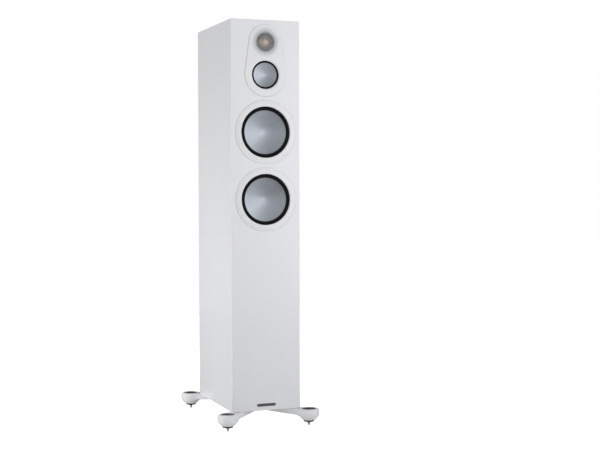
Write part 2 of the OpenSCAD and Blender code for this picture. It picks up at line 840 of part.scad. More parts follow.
// Round cable swept through a list of points, none of whose runs lies along X
module cable(points, r, sides = 10) {
    count = len(points);
    rings = [
        for (i = [0:count - 1])
            let (ahead = heading(points, i), a = unit(cross([1, 0, 0], ahead)), b = cross(ahead, a))
            for (k = [0:sides - 1])
                points[i] + r * (cos(360 * k / sides) * a + sin(360 * k / sides) * b)
    ];
    walls = [
        for (i = [0:count - 2], k = [0:sides - 1])
            let (next = (k + 1) % sides)
            [i * sides + k, (i + 1) * sides + k, (i + 1) * sides + next, i * sides + next]
    ];
    caps = [[for (k = [0:sides - 1]) k], [for (k = [sides - 1:-1:0]) (count - 1) * sides + k]];
    polyhedron(points = rings, faces = concat(walls, caps));
}

// The first part of a lead: off the board, into the trunk and up to a height
function trunk(x, top) = [
    [x, board_y - lead_start_in, lead_start_h],
    [x, front_y + trunk_in, lead_bend_h],
    [x, front_y + trunk_in, top]
];

// The last part, given as distances across, behind the front face and above a height
function lead_end(spots, height) = [for (p = spots) [p[0], front_y + p[1], height + p[2]]];

// One lead from the crossover to each driver, up through the brace windows
module internal_wiring() {
    color("firebrick") translate([0, 0, base_z]) {
        cable(concat(trunk(trunk_x[0], mid_trunk_top), lead_end(mid_lead_end, mid_h)), lead_r);
        cable(concat(trunk(trunk_x[1], tweeter_trunk_top), lead_end(tweeter_lead_end, tweeter_h)), lead_r);
        for (lead = [[trunk_x[2], upper_woofer_h], [trunk_x[3], lower_woofer_h]])
            cable(
                concat(trunk(lead[0], lead[1] - woofer_trunk_drop), lead_end(woofer_lead_end, lead[1])), lead_r
            );
    }
}

// ---------- fasteners ----------

module panel_screws() {
    color("black") {
        for (height = [lower_woofer_h, upper_woofer_h]) on_front(height)
            around(woofer_screws, woofer_screw_r) translate([0, 0, flange_front]) screw();
        on_front(mid_h) around(mid_screws, mid_screw_r, mid_screw_turn)
            translate([0, 0, small_flange_front]) screw();
        on_front(tweeter_h) around(tweeter_screws, tweeter_screw_r, tweeter_screw_turn)
            translate([0, 0, small_flange_front]) screw();
        on_rear(terminal_h) at_cup_screws() screw();
    }
}

module outrigger_bolts() {
    color("gray") at_arms() at_arm_bolts() {
        translate([0, 0, -bolt_grip]) cylinder(r = bolt_r, h = bolt_grip + bolt_reach);
        difference() {
            translate([0, 0, -bolt_grip - bolt_head_t]) cylinder(r = bolt_head_r, h = bolt_head_t);
            translate([0, 0, -bolt_grip - bolt_head_t - eps])
                cylinder(r = bolt_socket_r, h = bolt_socket_t, $fn = 6);
        }
    }
}

// ---------- feet ----------

arm_run = [foot_x - arm_end_x, front_foot_out + arm_end_in];
arm_len = norm(arm_run);
arm_turn = atan2(arm_run[1], -arm_run[0]);
CORNERS = [[1, 0], [0, 0], [1, 1], [0, 1]];

// Local origin at a foot's centre on the cabinet's bottom level, +X along its arm towards the cabinet
module at_corner(corner) {
    out = corner[1] == 0 ? front_foot_out : rear_foot_out;
    face = corner[1] == 0 ? front_y : rear_y;
    mirror([corner[0], 0, 0])
        translate([foot_x, face + (corner[1] == 0 ? -out : out), base_z])
            mirror([0, corner[1], 0]) rotate([0, 0, arm_turn]) children();
}

module at_arms() {
    for (corner = CORNERS) at_corner(corner) children();
}

module at_arm_bolts() {
    for (spot = arm_bolt_spots) translate([arm_len * spot, 0, 0]) children();
}

module arm_plan() {
    half_root = arm_root_w / 2;
    half_end = arm_end_w / 2;
    steps = 8;
    outline = concat(
        [[0, -half_root]],
        [for (i = [0:steps])
            let (a = -90 + 180 * i / steps)
            [arm_len - half_end + half_end * cos(a), half_end * sin(a)]],
        [[0, half_root]]
    );
    polygon(outline);
}

module arm_side() {
    polygon([
        [arm_start, 0], [arm_start, -arm_root_t], [arm_neck, arm_neck_rise - arm_root_t],
        [arm_len * arm_waist, -arm_waist_t], [arm_len + arm_tip, -arm_end_t], [arm_len + arm_tip, 0]
    ]);
}

module outrigger(corner) {
    bowl = concat(
        [[0, pod_top_z], [pod_radius(pod_top_z), pod_top_z]],
        [for (i = [1:pod_steps])
            let (z = pod_top_z + (pod_mid_z - pod_top_z) * i / pod_steps)
            [pod_radius(z), z]],
        [for (i = [1:pod_steps])
            let (z = pod_mid_z + (pod_bottom_z - pod_mid_z) * i / pod_steps)
            [pod_radius(z), z]],
        [[0, pod_bottom_z]]
    );
    color("whitesmoke") at_corner(corner) difference() {
        union() {
            revolve(bowl);
            intersection() {
                translate([0, 0, -arm_root_t]) linear_extrude(arm_root_t) arm_plan();
                translate([0, arm_root_w, 0]) rotate([90, 0, 0]) linear_extrude(2 * arm_root_w) arm_side();
            }
        }
        translate([0, 0, pod_recess_z]) cylinder(r = pod_recess_r, h = pod_cut);
        translate([0, 0, pod_bottom_z - eps]) cylinder(r = spike_r + run_fit, h = pod_cut);
        at_arm_bolts() translate([0, 0, -pod_cut]) {
            cylinder(r = bolt_r + seam, h = pod_cut + bolt_spare);
            cylinder(r = bolt_head_r + bolt_head_gap, h = pod_cut - bolt_grip);
        }
    }
}

module foot_rings() {
    color("black") at_arms() tube(ring_r, spike_r + ring_gap, pod_bottom_z - ring_t, pod_bottom_z);
}

module spike(corner) {
    color("silver") at_corner(corner) revolve([
        [0, spike_top_z], [spike_r, spike_top_z], [spike_r, spike_cone_z], [spike_tip_r, -spike_drop],
        [0, -spike_drop]
    ]);
}

// Levelling knob that turns with the spike's thread
module knob(corner) {
    color("black") at_corner(corner) translate([0, 0, -knob_t]) difference() {
        cylinder(r = knob_r, h = knob_t);
        translate([0, 0, -eps]) cylinder(r = spike_r + run_fit, h = knob_t + spike_top_z + 2 * eps);
        around(knob_grips, knob_r + knob_grip_out) translate([0, 0, -eps])
            cylinder(r = knob_grip_r, h = knob_t + 2 * eps, $fn = 16);
    }
}

// ---------- assembly ----------

cabinet_wrap();
front_baffle();
rear_panel();
window_braces();
mid_chamber();
damping_wadding();
badge_plate();
grille_magnets();
woofer_trim_ring(upper_woofer_h);  // upper_woofer_trim_ring
woofer_basket(upper_woofer_h);  // upper_woofer_basket
woofer_surround(upper_woofer_h);  // upper_woofer_surround
woofer_cone(upper_woofer_h);  // upper_woofer_cone
woofer_voice_coil(upper_woofer_h);  // upper_woofer_voice_coil
woofer_spider(upper_woofer_h);  // upper_woofer_spider
woofer_magnet(upper_woofer_h);  // upper_woofer_magnet
woofer_poles(upper_woofer_h);  // upper_woofer_poles
woofer_trim_ring(lower_woofer_h);  // lower_woofer_trim_ring
woofer_basket(lower_woofer_h);  // lower_woofer_basket
woofer_surround(lower_woofer_h);  // lower_woofer_surround
woofer_cone(lower_woofer_h);  // lower_woofer_cone
woofer_voice_coil(lower_woofer_h);  // lower_woofer_voice_coil
woofer_spider(lower_woofer_h);  // lower_woofer_spider
woofer_magnet(lower_woofer_h);  // lower_woofer_magnet
woofer_poles(lower_woofer_h);  // lower_woofer_poles
mid_basket();
mid_surround();
mid_cone();
mid_voice_coil();
mid_spider();
mid_motor();
mid_tweeter_plate();
tweeter_grille();
tweeter_dome();
tweeter_surround();
tweeter_motor();
reflex_ports();
terminal_cup();
binding_posts();
nut_core(post_gap / 2);  // positive_nut_core
nut_shell(post_gap / 2, "red");  // positive_nut_shell
nut_core(-post_gap / 2);  // negative_nut_core
nut_shell(-post_gap / 2, "black");  // negative_nut_shell
crossover_board();
crossover_parts();
internal_wiring();
panel_screws();
outrigger_bolts();
foot_rings();
outrigger(CORNERS[0]);  // front_left_outrigger
outrigger(CORNERS[1]);  // front_right_outrigger
outrigger(CORNERS[2]);  // rear_left_outrigger
outrigger(CORNERS[3]);  // rear_right_outrigger
spike(CORNERS[0]);  // front_left_spike
spike(CORNERS[1]);  // front_right_spike
spike(CORNERS[2]);  // rear_left_spike
spike(CORNERS[3]);  // rear_right_spike
knob(CORNERS[0]);  // front_left_knob
knob(CORNERS[1]);  // front_right_knob
knob(CORNERS[2]);  // rear_left_knob
knob(CORNERS[3]);  // rear_right_knob
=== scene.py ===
import math

import bmesh
import bpy
import numpy as np
from mathutils import Matrix, Vector, geometry


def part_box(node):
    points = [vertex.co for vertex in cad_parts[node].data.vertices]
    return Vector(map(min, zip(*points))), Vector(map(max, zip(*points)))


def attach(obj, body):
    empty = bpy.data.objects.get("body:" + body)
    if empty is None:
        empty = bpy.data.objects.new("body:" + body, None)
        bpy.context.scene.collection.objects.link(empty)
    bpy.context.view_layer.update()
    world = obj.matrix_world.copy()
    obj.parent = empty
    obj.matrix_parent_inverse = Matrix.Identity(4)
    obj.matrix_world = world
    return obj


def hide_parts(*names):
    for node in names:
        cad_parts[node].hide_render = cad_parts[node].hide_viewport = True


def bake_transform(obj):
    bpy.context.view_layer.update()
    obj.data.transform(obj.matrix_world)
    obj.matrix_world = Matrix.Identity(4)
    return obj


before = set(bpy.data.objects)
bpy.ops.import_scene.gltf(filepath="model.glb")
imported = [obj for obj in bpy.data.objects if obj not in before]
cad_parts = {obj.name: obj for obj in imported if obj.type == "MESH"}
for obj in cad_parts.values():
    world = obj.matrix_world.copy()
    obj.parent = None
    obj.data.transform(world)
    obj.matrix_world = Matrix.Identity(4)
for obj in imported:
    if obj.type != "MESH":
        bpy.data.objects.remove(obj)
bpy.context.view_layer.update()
rng = np.random.default_rng(7)

MM = 0.001
TAU = 2 * math.pi
CORNERS = ("front_left", "front_right", "rear_left", "rear_right")
WOOFERS = ("upper_woofer", "lower_woofer")


# ---------- places in the row frame ----------
def centre(node):
    low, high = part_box(node)
    return (low + high) / 2


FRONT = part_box("front_baffle")[0].y
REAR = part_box("cabinet_wrap")[1].y
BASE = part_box("cabinet_wrap")[0].z
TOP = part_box("cabinet_wrap")[1].z
MIDDLE_Z = (TOP + BASE) / 2
MID_Z = centre("mid_cone").z
TWEETER_Z = centre("tweeter_dome").z
INTO = Matrix.Rotation(-math.pi / 2, 4, "X")

# Sizes and outlines are in millimetres.
HALF_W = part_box("cabinet_wrap")[1].x / MM
HEIGHT = (TOP - BASE) / MM
DEPTH = (REAR - FRONT) / MM
BAFFLE_T = (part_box("front_baffle")[1].y - FRONT) / MM
WALL_T = 18
APART = (TWEETER_Z - MID_Z) / MM
PORT_FLANGE_R = 45
PORT_BORE_R = 27
PORT_LENGTH = 120
PORT_LOW, PORT_HIGH = (corner.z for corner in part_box("reflex_ports"))
PORTS = (PORT_LOW + PORT_FLANGE_R * MM, PORT_HIGH - PORT_FLANGE_R * MM)
ARM_RUN = (92, 80)
ARM_LENGTH = math.hypot(*ARM_RUN)
THREAD_PITCH = 1.25


def placed(point, turn=None):
    """Matrix from local millimetres to the row frame."""
    return Matrix.Translation(point) @ (turn or Matrix()) @ Matrix.Scale(MM, 4)


def on_front(z):
    """Local +Z runs into the cabinet from the front face, and local +Y runs down."""
    return placed((0, FRONT, z), INTO)


def on_rear(z, x=0.0):
    """Local +Z runs out of the rear face, and local +Y runs down."""
    return placed((x, REAR, z), INTO)


def drop(z):
    """Local +Y of a height, on a face whose origin is at the cabinet's middle."""
    return (MIDDLE_Z - z) / MM


def at_corner(corner):
    """Local origin at a foot's centre on the cabinet's bottom level, +X along its arm."""
    spot = centre(f"{corner}_spike")
    side = -1 if "left" in corner else 1
    back = -1 if "rear" in corner else 1
    mirror = Matrix.Diagonal((side, back, 1, 1))
    turn = Matrix.Rotation(math.atan2(ARM_RUN[1], -ARM_RUN[0]), 4, "Z")
    return placed((spot.x, spot.y, BASE), mirror @ turn)


# ---------- node materials ----------
def fill(tree, node, values):
    """Gives a node its inputs: a socket is linked, and anything else is the input's own value."""
    for key, value in dict(values).items():
        if isinstance(value, bpy.types.NodeSocket):
            tree.links.new(value, node.inputs[key])
        else:
            node.inputs[key].default_value = value


def add(tree, kind, values=(), **settings):
    """Adds a node and returns its outputs."""
    made = tree.nodes.new(kind)
    for key, value in settings.items():
        setattr(made, key, value)
    fill(tree, made, values)
    return made.outputs


def node_tree(name):
    made = bpy.data.materials.new(name)
    made.use_nodes = True
    tree = made.node_tree
    return made, tree, tree.nodes["Principled BSDF"]


def own_place(tree):
    return add(tree, "ShaderNodeTexCoord")["Object"]


def grain(tree, scale, detail=3.0, stretch=(1, 1, 1)):
    """Noise in the piece's own coordinates. Scale is in cycles per metre."""
    place = add(tree, "ShaderNodeMapping", {"Vector": own_place(tree), "Scale": stretch})["Vector"]
    return add(tree, "ShaderNodeTexNoise", {"Vector": place, "Scale": scale, "Detail": detail})["Fac"]


def bands(tree, pitch, direction, distortion):
    """Bands at a pitch in metres. The wave's phase runs 20 radians for each unit of scale."""
    values = {"Vector": own_place(tree), "Scale": TAU / pitch / 20, "Distortion": distortion}
    return add(tree, "ShaderNodeTexWave", values, bands_direction=direction)["Fac"]


def ramp(tree, fac, low, high, start=0.3, end=0.7):
    made = add(tree, "ShaderNodeValToRGB", {"Fac": fac})["Color"]
    first, last = made.node.color_ramp.elements
    first.position, last.position = start, end
    first.color, last.color = (*low, 1), (*high, 1)
    return made


def spread(tree, value, low, high):
    """Takes 0 to 1 over to low to high."""
    return add(tree, "ShaderNodeMapRange", {"Value": value, "To Min": low, "To Max": high})["Result"]


def shaped(tree, value, low, high, to_low=0.0, to_high=1.0):
    """Smooth step from to_low, where the value is low, to to_high, where it is high."""
    values = {"Value": value, "From Min": low, "From Max": high, "To Min": to_low, "To Max": to_high}
    return add(tree, "ShaderNodeMapRange", values, interpolation_type="SMOOTHSTEP")["Result"]


def calc(tree, operation, a, b):
    return add(tree, "ShaderNodeMath", {0: a, 1: b}, operation=operation)["Value"]


def dot(tree, vector, direction):
    return add(tree, "ShaderNodeVectorMath", {0: vector, 1: direction}, operation="DOT_PRODUCT")["Value"]


def relief(tree, height, strength, distance):
    values = {"Height": height, "Strength": strength, "Distance": distance}
    return add(tree, "ShaderNodeBump", values)["Normal"]


def finish(name, colour, rough, metal=0.0, vary=0.04, patch=30.0, fine=1500.0, bump=0.1, depth=0.00005,
           rough_vary=0.05, stretch=(1, 1, 1), **sockets):
    """A surface with broad colour patches, uneven roughness and a fine relief. Patch and fine are in cycles
    per metre, and depth is in metres."""
    made, tree, shader = node_tree(name)
    low = tuple(c * (1 - vary) for c in colour)
    high = tuple(min(1.0, c * (1 + vary)) for c in colour)
    patches = grain(tree, patch, stretch=stretch)
    uneven = grain(tree, patch * 3, 5.0, stretch)
    fill(tree, shader, {
        "Base Color": ramp(tree, patches, low, high),
        "Roughness": spread(tree, uneven, rough - rough_vary, rough + rough_vary),
        "Normal": relief(tree, grain(tree, fine, 2.0, stretch), bump, depth),
        "Metallic": metal,
    })
    fill(tree, shader, {key.replace("_", " "): value for key, value in sockets.items()})
    return made


def wound(name, colour, dark, rough, metal, pitch, direction, distance):
    """Turns of wire or thread that lie across one axis."""
    made, tree, shader = node_tree(name)
    turns = bands(tree, pitch, direction, 0.2)
    fill(tree, shader, {
        "Base Color": ramp(tree, turns, dark, colour, 0.1, 0.6),
        "Roughness": spread(tree, grain(tree, 400), rough - 0.06, rough + 0.06),
        "Normal": relief(tree, turns, 0.8, distance),
        "Metallic": metal,
    })
    return made


def woven(name, colour, dark, pitch, rough):
    """Plain weave: two crossed sets of threads."""
    made, tree, shader = node_tree(name)
    threads = calc(tree, "MULTIPLY", bands(tree, pitch, "X", 0.3), bands(tree, pitch, "Z", 0.3))
    fill(tree, shader, {
        "Base Color": ramp(tree, threads, dark, colour, 0.0, 0.5),
        "Roughness": spread(tree, grain(tree, 200), rough - 0.05, rough + 0.05),
        "Normal": relief(tree, threads, 0.6, 0.0002),
    })
    return made


def traced_board():
    """Green solder mask with a field of traces and pads."""
    made, tree, shader = node_tree("board_mask")
    values = {"Vector": own_place(tree), "Scale": 110.0, "Randomness": 0.75}
    cells = add(tree, "ShaderNodeTexVoronoi", values, distance="MANHATTAN", feature="F1")["Distance"]
    fill(tree, shader, {
        "Base Color": ramp(tree, cells, (0.10, 0.32, 0.12), (0.015, 0.11, 0.035), 0.30, 0.36),
        "Roughness": spread(tree, grain(tree, 300), 0.28, 0.42),
        "Normal": relief(tree, cells, 0.3, 0.0001),
        "Coat Weight": 0.3,
    })
    return made


LACQUER = finish(
    "satin_lacquer", (0.86, 0.865, 0.885), 0.27, vary=0.003, patch=5, fine=900, depth=0.000003,
    rough_vary=0.003, Coat_Weight=0.25, Coat_Roughness=0.12,
)
WHITE_PLASTIC = finish(
    "moulded_white", (0.86, 0.865, 0.88), 0.36, vary=0.01, patch=25, fine=2600, bump=0.08,
    depth=0.00003, rough_vary=0.04,
)
WHITE_MESH = finish("painted_mesh", (0.86, 0.865, 0.88), 0.42, vary=0.02, patch=60, fine=3000)
CASTING = finish(
    "painted_casting", (0.86, 0.865, 0.875), 0.38, vary=0.012, fine=1300, depth=0.00006,
    Coat_Weight=0.15, Coat_Roughness=0.2,
)
MDF = finish(
    "raw_board", (0.55, 0.40, 0.25), 0.85, vary=0.16, patch=420, fine=2200, bump=0.5, depth=0.0002,
    stretch=(1, 1, 1.6),
)
BLACK_MOULDING = finish(
    "black_moulding", (0.022, 0.022, 0.024), 0.38, vary=0.2, patch=40, fine=2200, bump=0.25
)
BASKET = finish("powder_coat", (0.055, 0.056, 0.060), 0.55, vary=0.15, patch=60, bump=0.4, depth=0.00008)
FERRITE = finish(
    "ferrite", (0.045, 0.043, 0.045), 0.62, vary=0.35, patch=500, fine=1800, bump=0.5, depth=0.0001
)
STEEL = finish(
    "zinc_plated_steel", (0.56, 0.56, 0.58), 0.32, 1.0, vary=0.06, patch=120, fine=1800, bump=0.15,
    depth=0.00004, rough_vary=0.08,
)
SPIKE_STEEL = finish(
    "turned_steel", (0.76, 0.76, 0.77), 0.30, 0.6, vary=0.03, patch=60, fine=2600, bump=0.3,
    depth=0.00003, rough_vary=0.06, stretch=(0.05, 0.05, 1),
)
MAGNET_PLATE = finish("nickel_plate", (0.66, 0.65, 0.62), 0.2, 1.0, vary=0.03, patch=200)
RUBBER = finish(
    "black_rubber", (0.003, 0.003, 0.0035), 0.5, vary=0.25, patch=70, fine=2400, bump=0.2,
    depth=0.00003, rough_vary=0.08, Specular_IOR_Level=0.15,
)
FOOT_RUBBER = finish("foot_rubber", (0.035, 0.035, 0.037), 0.6, vary=0.2, patch=90, fine=1900, bump=0.4)
KNOB = finish(
    "knob_moulding", (0.016, 0.016, 0.017), 0.45, vary=0.2, patch=60, fine=2000, bump=0.3, depth=0.00006
)
CONE_METAL = finish(
    "anodised_cone", (0.56, 0.60, 0.66), 0.32, 1.0, vary=0.03, patch=35, fine=2200, bump=0.2, depth=0.00004
)
GOLD = finish("gold_dome", (0.56, 0.39, 0.27), 0.12, 1.0, patch=160, fine=3000, depth=0.00002)
GOLD_PLATE = finish(
    "gold_plate", (0.86, 0.62, 0.27), 0.18, 1.0, patch=150, fine=2600, bump=0.15, depth=0.00002
)
RED_PLASTIC = finish(
    "red_grip", (0.42, 0.012, 0.012), 0.34, vary=0.1, patch=120, fine=2200, bump=0.2, depth=0.00003,
    Coat_Weight=0.2,
)
BLACK_PLASTIC = finish("black_grip", (0.02, 0.02, 0.021), 0.34, vary=0.15, patch=120, fine=2200, bump=0.2)
BLACK_STEEL = finish("black_oxide", (0.035, 0.035, 0.038), 0.36, 0.9, vary=0.2, patch=300, fine=2400)
BADGE = finish(
    "brushed_dark_metal", (0.13, 0.134, 0.142), 0.38, 0.6, vary=0.12, patch=60, fine=900, bump=0.35,
    depth=0.00004, stretch=(0.06, 1, 1),
)
WADDING = finish(
    "polyester_wadding", (0.78, 0.78, 0.76), 0.95, vary=0.12, patch=90, fine=520, bump=0.9, depth=0.0012,
    Sheen_Weight=0.5,
)
FILM = finish("yellow_film", (0.62, 0.40, 0.06), 0.3, vary=0.05, patch=90, Coat_Weight=0.3)
CERAMIC = finish("ceramic_block", (0.70, 0.68, 0.62), 0.8, vary=0.08, patch=300, bump=0.4)
COPPER = wound("enamelled_wire", (0.78, 0.34, 0.16), (0.20, 0.06, 0.02), 0.3, 0.9, 0.0009, "Y", 0.0002)
COIL = wound("voice_coil_turns", (0.80, 0.42, 0.20), (0.28, 0.10, 0.04), 0.34, 0.9, 0.0005, "Y", 0.0001)
CLOTH = woven("resin_cloth", (0.62, 0.33, 0.13), (0.24, 0.10, 0.03), 0.0009, 0.8)
DOME_CLOTH = woven("dome_surround_cloth", (0.20, 0.15, 0.08), (0.05, 0.035, 0.02), 0.0006, 0.75)
LINING = woven("guard_lining_cloth", (0.012, 0.012, 0.014), (0.004, 0.004, 0.004), 0.0008, 0.9)
JACKET = wound("lead_jacket", (0.48, 0.03, 0.03), (0.20, 0.01, 0.01), 0.45, 0.0, 0.004, "Z", 0.0002)
BOARD = traced_board()


# ---------- mesh making ----------
def hoop(radius, angle, z):
    """Points of one level ring. The radius may vary with the angle."""
    return np.column_stack([radius * np.cos(angle), radius * np.sin(angle), np.full(len(angle), z)])


def revolve(profile, count=96, ring=False):
    """Points and faces of a (radius, height) line turned about local Z; ring closes the line on itself."""
    angle = TAU * np.arange(count) / count
    return np.concatenate([hoop(r, angle, z) for r, z in profile]), quads(len(profile), count, ring)


def quads(rows, count, ring=False):
    """Faces of a grid of rows whose points run round and close on themselves."""
    row = np.arange(rows if ring else rows - 1)[:, None]
    col = np.arange(count)[None, :]
    a = row * count + col
    b = row * count + (col + 1) % count
    over = (row + 1) % rows * count
    return np.stack([a, b, over + (col + 1) % count, over + col], -1).reshape(-1, 4).tolist()


def capped(rows, count):
    """Faces of such a grid, with one face over its first row and one over its last."""
    last = (rows - 1) * count
    return quads(rows, count) + [list(range(count)), list(range(last, last + count))]


def rounded(points, closed=False, steps=5):
    """Line whose corners, given as (x, y, radius), become arcs."""
    out, last = [], len(points) - 1
    for i, (x, y, *radius) in enumerate(points):
        if not radius or (not closed and i in (0, last)):
            out.append((x, y))
            continue
        corner = np.array([x, y], float)
        to_a = np.array(points[i - 1][:2], float) - corner
        to_b = np.array(points[(i + 1) % len(points)][:2], float) - corner
        room = 0.49 * min(np.linalg.norm(to_a), np.linalg.norm(to_b))
        to_a, to_b = to_a / np.linalg.norm(to_a), to_b / np.linalg.norm(to_b)
        half = math.acos(max(-1.0, min(1.0, float(to_a @ to_b)))) / 2
        reach = min(radius[0] / math.tan(half), room)
        size = reach * math.tan(half)
        middle = corner + (to_a + to_b) / np.linalg.norm(to_a + to_b) * size / math.sin(half)
        start, end = corner + to_a * reach - middle, corner + to_b * reach - middle
        turn = (math.pi - 2 * half) * (1 if start[0] * end[1] > start[1] * end[0] else -1)
        for k in range(steps + 1):
            c, s = math.cos(turn * k / steps), math.sin(turn * k / steps)
            out.append((middle[0] + c * start[0] - s * start[1], middle[1] + s * start[0] + c * start[1]))
    return out


def joined(parts):
    """Several (points, faces) as one."""
    points, faces, base = [], [], 0
    for part_points, part_faces in parts:
        points.append(np.asarray(part_points, float))
        faces += [[i + base for i in face] for face in part_faces]
        base += len(part_points)
    return np.concatenate(points), faces


def moved(part, matrix):
    points, faces = part
    m = np.array(matrix)
    return np.asarray(points) @ m[:3, :3].T + m[:3, 3], faces


def cover(loops):
    """Triangles that fill the first convex loop of 2D points except inside the others."""
    flat = [tuple(p) for loop in loops for p in loop]
    owner = [i for i, loop in enumerate(loops) for _ in loop]
    edges, base = [], 0
    for loop in loops:
        edges += [(base + k, base + (k + 1) % len(loop)) for k in range(len(loop))]
        base += len(loop)
    _, _, faces, origin, _, _ = geometry.delaunay_2d_cdt(flat, edges, [], 0, 1e-6)
    out = []
    for face in faces:
        ids = [origin[i][0] for i in face]
        owners = {owner[i] for i in ids}
        if len(owners) > 1 or owners == {0}:
            out.append(ids)
    return out


def slab(walls):
    """Solid between a front and a back face. Each wall is a list of closed 3D loops from front to back. The
    first wall is the outside and the rest are openings."""
    points, faces, base = [], [], 0
    starts, ends = [], []
    for wall in walls:
        count = len(wall[0])
        points += [np.asarray(loop, float) for loop in wall]
        faces += [[i + base for i in face] for face in quads(len(wall), count)]
        starts.append((base, wall[0]))
        ends.append((base + (len(wall) - 1) * count, wall[-1]))
        base += count * len(wall)
    for side in (starts, ends):
        index = [first + k for first, loop in side for k in range(len(loop))]
        faces += [[index[i] for i in face] for face in cover([np.asarray(loop)[:, :2] for _, loop in side])]
    return np.concatenate(points), faces


def loop_at(outline, z):
    flat = np.array(outline, float)
    return np.column_stack([flat, np.full(len(flat), z)])


def circle(radius, count=128, x=0.0, y=0.0):
    angle = TAU * np.arange(count) / count
    return np.column_stack([x + radius * np.cos(angle), y + radius * np.sin(angle)])


def box_outline(half_x, half_y, radius, steps=5, x=0.0, y=0.0):
    corners = [(-half_x, -half_y), (half_x, -half_y), (half_x, half_y), (-half_x, half_y)]
    return np.array(rounded([(a, b, radius) for a, b in corners], True, steps)) + (x, y)


def put(name, data):
    """Object in the scene for a mesh, curve, lamp or camera."""
    made = bpy.data.objects.new(name, data)
    bpy.context.scene.collection.objects.link(made)
    return made


def piece(name, part, matrix, body, look, stands_for=(), sharp=35, flat=False):
    """Makes a finished piece from local millimetres and lets it ride on a body."""
    points, faces = moved(part, matrix)
    mesh = bpy.data.meshes.new(name)
    work = bmesh.new()
    verts = [work.verts.new(p) for p in points]
    for face in faces:
        work.faces.new([verts[i] for i in face])
    bmesh.ops.remove_doubles(work, verts=work.verts, dist=2e-7)
    bmesh.ops.recalc_face_normals(work, faces=work.faces)
    work.to_mesh(mesh)
    work.free()
    mesh.materials.append(look)
    mesh.shade_smooth()
    mesh.set_sharp_from_angle(angle=math.radians(sharp))
    made = put(name, mesh)
    if flat:
        made.modifiers.new("even_normals", "WEIGHTED_NORMAL").keep_sharp = True
    if body:
        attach(made, body)
    if stands_for:
        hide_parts(*stands_for)
    return made


def round_wall(steps, y=0.0, count=128):
    """Wall of a round outline or opening, given as (radius, depth) steps."""
    return [loop_at(circle(r, count, 0, y), z) for r, z in steps]


# ---------- cabinet ----------
def panel(name, walls, matrix, node):
    piece(name, slab(walls), matrix, "root", LACQUER, [node], flat=True)


def cabinet():
    edge, chamfer = 1.3, 0.5
    inner_w, inner_h = HALF_W - WALL_T, HEIGHT / 2 - WALL_T
    outer = box_outline(HALF_W, HEIGHT / 2, edge)
    lip = box_outline(HALF_W - chamfer, HEIGHT / 2 - chamfer, edge - chamfer)
    hollow = box_outline(inner_w, inner_h, 0.5, 2)
    body = [loop_at(outer, BAFFLE_T), loop_at(outer, DEPTH - chamfer), loop_at(lip, DEPTH)]
    well = [loop_at(hollow, BAFFLE_T), loop_at(hollow, DEPTH)]
    panel("lacquered_wrap", [body, well], on_front(MIDDLE_Z), "cabinet_wrap")

    front = []
    for k in range(6):
        a = math.pi / 2 * k / 5
        inset = edge * (1 - math.sin(a))
        shape = box_outline(HALF_W - inset, HEIGHT / 2 - inset, max(edge - inset, 0.05))
        front.append(loop_at(shape, edge * (1 - math.cos(a))))
    walls = [front + [loop_at(outer, BAFFLE_T)]]
    seat, bore = 82.1, 70.8
    for node in WOOFERS:
        steps = ((seat + 0.35, 0), (seat, 0.35), (seat, 7), (bore, 7), (bore, BAFFLE_T))
        walls.append(round_wall(steps, drop(centre(f"{node}_trim_ring").z)))
    walls.append([
        loop_at(teardrop(grow) + (0, drop(MID_Z)), z)
        for grow, z in ((0.75, 0), (0.3, 0.45), (0.3, 4), (-15, 4), (-15, BAFFLE_T))
    ])
    panel("lacquered_baffle", walls, on_front(MIDDLE_Z), "front_baffle")

    gap, inset = 0.05, 0.4
    face = loop_at(box_outline(inner_w - inset, inner_h - inset, 0.6, 2), 0)
    side = box_outline(inner_w - gap, inner_h - gap, 0.8, 2)
    walls = [[face, loop_at(side, -inset), loop_at(side, -WALL_T)]]
    for z in PORTS:
        walls.append(round_wall(((45.3, 0), (45.1, -3), (42, -3), (42, -WALL_T)), drop(z), 96))
    y = drop(centre("terminal_cup").z)
    steps = ((53.2, 43.2, 5, 0), (53.1, 43.1, 5, -3), (44.6, 34.6, 4, -3), (44.6, 34.6, 4, -WALL_T))
    walls.append([loop_at(box_outline(w, h, r, 4, 0, y), z) for w, h, r, z in steps])
    panel("rear_board", walls, on_rear(MIDDLE_Z), "rear_panel")


def teardrop(grow, steps=48):
    """Outline round the midrange (large) and the tweeter (small), in 2D from the midrange's centre."""
    big, small = 55.5 + grow, 44.0 + grow
    lean = math.asin((big - small) / APART)
    low = -lean + (math.pi + 2 * lean) * np.arange(steps + 1) / steps
    high = math.pi + lean + (math.pi - 2 * lean) * np.arange(steps + 1) / steps
    return np.concatenate([
        np.column_stack([big * np.cos(low), big * np.sin(low)]),
        np.column_stack([small * np.cos(high), small * np.sin(high) - APART]),
    ])


def badge():
    """Blank pill-shaped plate with a bevelled rim."""
    half_run, end_r = 22, 3.5
    wall = []
    a = np.linspace(-math.pi / 2, math.pi / 2, 13)
    for inset, z in ((1.1, -0.72), (0.85, -0.9), (0.35, -0.9), (0.1, -0.8), (0, -0.6), (0, 0)):
        r = end_r - inset
        end = np.column_stack([half_run + r * np.cos(a), r * np.sin(a)])
        wall.append(loop_at(np.concatenate([end, -end]), z))
    piece("blank_badge", slab([wall]), on_front(centre("badge_plate").z), "root", BADGE,
          ["badge_plate"], flat=True)


